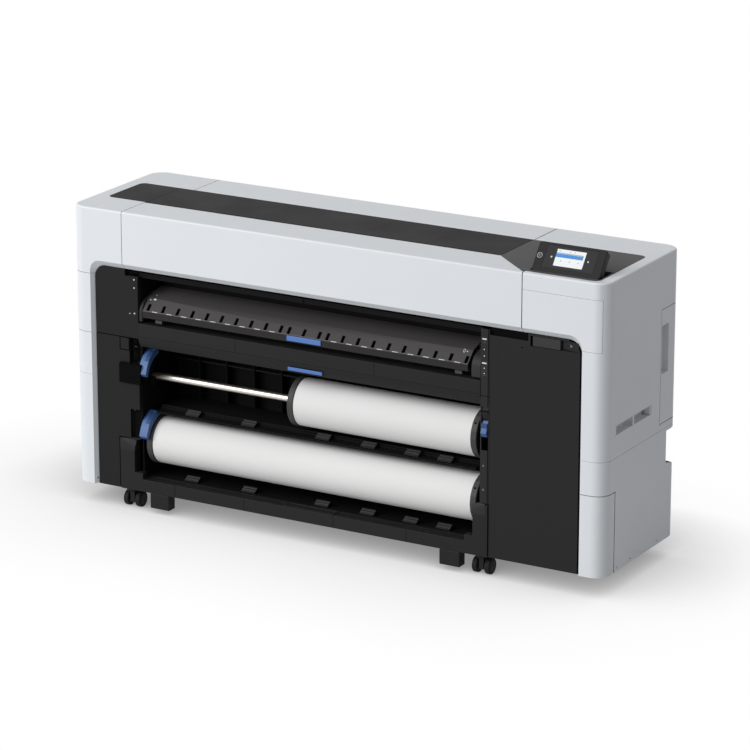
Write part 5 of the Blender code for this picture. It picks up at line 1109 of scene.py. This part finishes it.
# Ink unit: black steel rack with a row of plastic cartridges behind the door, each with a colour tab and a finger
# hollow, and the maintenance box behind the corner cover. They slide in from the front.

INKS = ((0.012, 0.012, 0.013), (0.02, 0.25, 0.5), (0.45, 0.03, 0.16), (0.62, 0.48, 0.03))
ink_plastic = coat("ink_plastic", (0.055, 0.055, 0.058), 0.38, 0.1, 800.0, 0.00003, 0.25)


def hollowed(source, name, low, high):
    """A moulded case with a round-edged finger hollow in its front."""
    case = soften(cast(source, name), 0.002)
    carve(case, soften(block("hollow", low, high), 0.004))
    return fit(smooth(case), ink_plastic, "ink_plastic", "chassis", source)


paint(painted_steel, "ink_rack")
for place, colour in enumerate(INKS):
    name = f"ink_cartridge_{place + 1}"
    case_low, case_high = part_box(name)
    middle = (case_low.x + case_high.x) / 2
    hollowed(name, name + "_case", (middle - 0.016, case_low.y - PAST, case_low.z + 0.012),
             (middle + 0.016, case_low.y + 0.01, case_low.z + 0.04))
    tab = block(f"ink_tab_{place + 1}", (middle - 0.02, case_low.y - 0.0012, case_low.z + 0.06),
                (middle + 0.02, case_low.y + 0.001, case_high.z - 0.01))
    bevel_edges(tab, lambda a, b: abs(a.y - b.y) > 0.001, 0.003, 3)
    tint = coat(f"ink_tab_{place + 1}", colour, 0.4, 0.05, 900.0, 0.00002)
    add(tab, 0.0004, tint, "ink_plastic", "chassis", 2)
box_low, box_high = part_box("maintenance_box")
hollowed("maintenance_box", "waste_case", (box_low.x + 0.016, box_low.y - PAST, box_high.z - 0.05),
         (box_high.x - 0.016, box_low.y + 0.012, box_high.z - 0.02))

# Castors and feet: swivel forks with twin rubber wheels and moulded hubs, and two front feet with rounded toes that
# stay clear of the floor, all bolted under the base.

HUB = [(0.0165, -0.001), (0.0165, 0.0002), (0.0155, 0.0006), (0.01, 0.0008), (0.009, 0.0002), (0.005, 0.0002),
       (0.0042, 0.001)]
wheel_rubber = coat("wheel_rubber", (0.011, 0.011, 0.0115), 0.7, 0.12, 500.0, 0.00008, 0.15)
hub_grey = coat("hub_grey", (0.032, 0.032, 0.033), 0.5, 0.1, 800.0, 0.00004, 0.15)
for side in ("left", "right"):
    for end in ("front", "rear"):
        name = f"{side}_{end}_castor"
        wheels_low, wheels_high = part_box(name + "_wheels")
        dress(name + "_fork", name + "_yoke", 0.0012, black_front, "black_plastic", name)
        dress(name + "_wheels", name + "_tyres", 0.003, wheel_rubber, "rubber_black", name + "_wheels", 4, 60)
        hub = turned(name + "_hubs", HUB, 28)
        centre = (wheels_low + wheels_high) / 2
        twin = bpy.data.objects.new("twin", hub.data.copy())
        bpy.context.scene.collection.objects.link(twin)
        aim(hub, (1, 0, 0), (wheels_high.x, centre.y, centre.z))
        aim(twin, (-1, 0, 0), (wheels_low.x, centre.y, centre.z))
        fit(smooth(gather([hub, twin])), hub_grey, "black_plastic", name + "_wheels")
    dress(side + "_foot", side + "_front_foot", 0.003, black_front, "black_plastic", "chassis", 4)

# Floor, light and camera: a white studio sweep under a broad soft sun and a fill lamp from the front left and an
# even sky. The floor that shows glows by itself and darkens near the object. The lens is long.

FLOOR_WHITE = 0.516
FLOOR_SHADE = 0.6
FLOOR_REACH = 0.74
UNDER_SHADE = 0.1
UNDER_REACH = 0.4
UNDER_AIM = (0.0, -0.8, 0.6)
FLOOR_AIM = (0.4, 0.0, 0.92)
SKY = 0.335
SUN_POWER = 1.73
SUN_SPREAD = 55
SUN_AIM = (0.38, 0.74, -0.555)
FILL_POWER = 139
FILL_SIZE = 3.0
FILL_PLACE = (-4.0, -5.0, 3.0)
FILL_AIM = (3.6, 4.8, -2.5)
LENS = 183.46
CAMERA_PLACE = (5.5455, -9.6485, 3.911)
CAMERA_AIM = (-0.475, 0.829, -0.294)


def seen(tree):
    """1 for the rays that the picture shows, directly or in gloss and glass, and 0 for the others."""
    rays = node(tree, "LightPath").outputs
    shown = sums(tree, "MAXIMUM", rays["Is Camera Ray"], rays["Is Glossy Ray"])
    return sums(tree, "MAXIMUM", shown, rays["Is Transmission Ray"])


def shaded(tree, least, reach, facing):
    """Brightness that falls to its least value where the object covers what a direction faces."""
    toward = node(tree, "CombineXYZ", X=facing[0], Y=facing[1], Z=facing[2]).outputs[0]
    clear = node(tree, "AmbientOcclusion", {"samples": 16}, Distance=reach, Normal=toward).outputs["AO"]
    return sums(tree, "MULTIPLY_ADD", clear, 1.0 - least, least)


def shine(name, kind, energy, direction):
    """A lamp that shines in a direction."""
    lamp = bpy.data.objects.new(name, bpy.data.lights.new(name, kind))
    bpy.context.scene.collection.objects.link(lamp)
    lamp.data.energy = energy
    lamp.rotation_euler = Vector(direction).to_track_quat("-Z", "Y").to_euler()
    return lamp


bpy.ops.object.select_all(action="DESELECT")
bpy.ops.mesh.primitive_plane_add(size=200, location=(0, 0, 0))
floor = bpy.context.object
floor.name = "studio_floor"
sweep = bpy.data.materials.new("studio_floor")
sweep.use_nodes = True
tree = sweep.node_tree
tree.nodes.clear()
paper = node(tree, "BsdfDiffuse", Color=(FLOOR_WHITE, FLOOR_WHITE, FLOOR_WHITE, 1.0)).outputs[0]
wide = shaded(tree, FLOOR_SHADE, FLOOR_REACH, FLOOR_AIM)
under = shaded(tree, UNDER_SHADE, UNDER_REACH, UNDER_AIM)
glow = node(tree, "Emission", Color=(1.0, 1.0, 1.0, 1.0), Strength=sums(tree, "MULTIPLY", wide, under)).outputs[0]
node(tree, "OutputMaterial", Surface=node(tree, "MixShader", i0=seen(tree), i1=paper, i2=glow).outputs[0])
floor.data.materials.append(sweep)

world = bpy.data.worlds.new("studio")
bpy.context.scene.world = world
world.use_nodes = True
tree = world.node_tree
tree.nodes.clear()
level = node(tree, "Mix", {"data_type": "FLOAT"}, i0=seen(tree), i2=SKY, i3=1.0).outputs[0]
node(tree, "OutputWorld", Surface=node(tree, "Background", Color=(1.0, 1.0, 1.0, 1.0), Strength=level).outputs[0])

sun = shine("soft_sun", "SUN", SUN_POWER, SUN_AIM)
sun.data.angle = radians(SUN_SPREAD)
fill = shine("left_fill", "AREA", FILL_POWER, FILL_AIM)
fill.data.size = FILL_SIZE
fill.location = FILL_PLACE

camera = bpy.data.objects.new("camera", bpy.data.cameras.new("camera"))
bpy.context.scene.collection.objects.link(camera)
camera.data.sensor_width = 36
camera.data.lens = LENS
camera.location = CAMERA_PLACE
camera.rotation_euler = Vector(CAMERA_AIM).to_track_quat("-Z", "Y").to_euler()
bpy.context.scene.camera = camera
bpy.context.scene.view_settings.view_transform = "Standard"
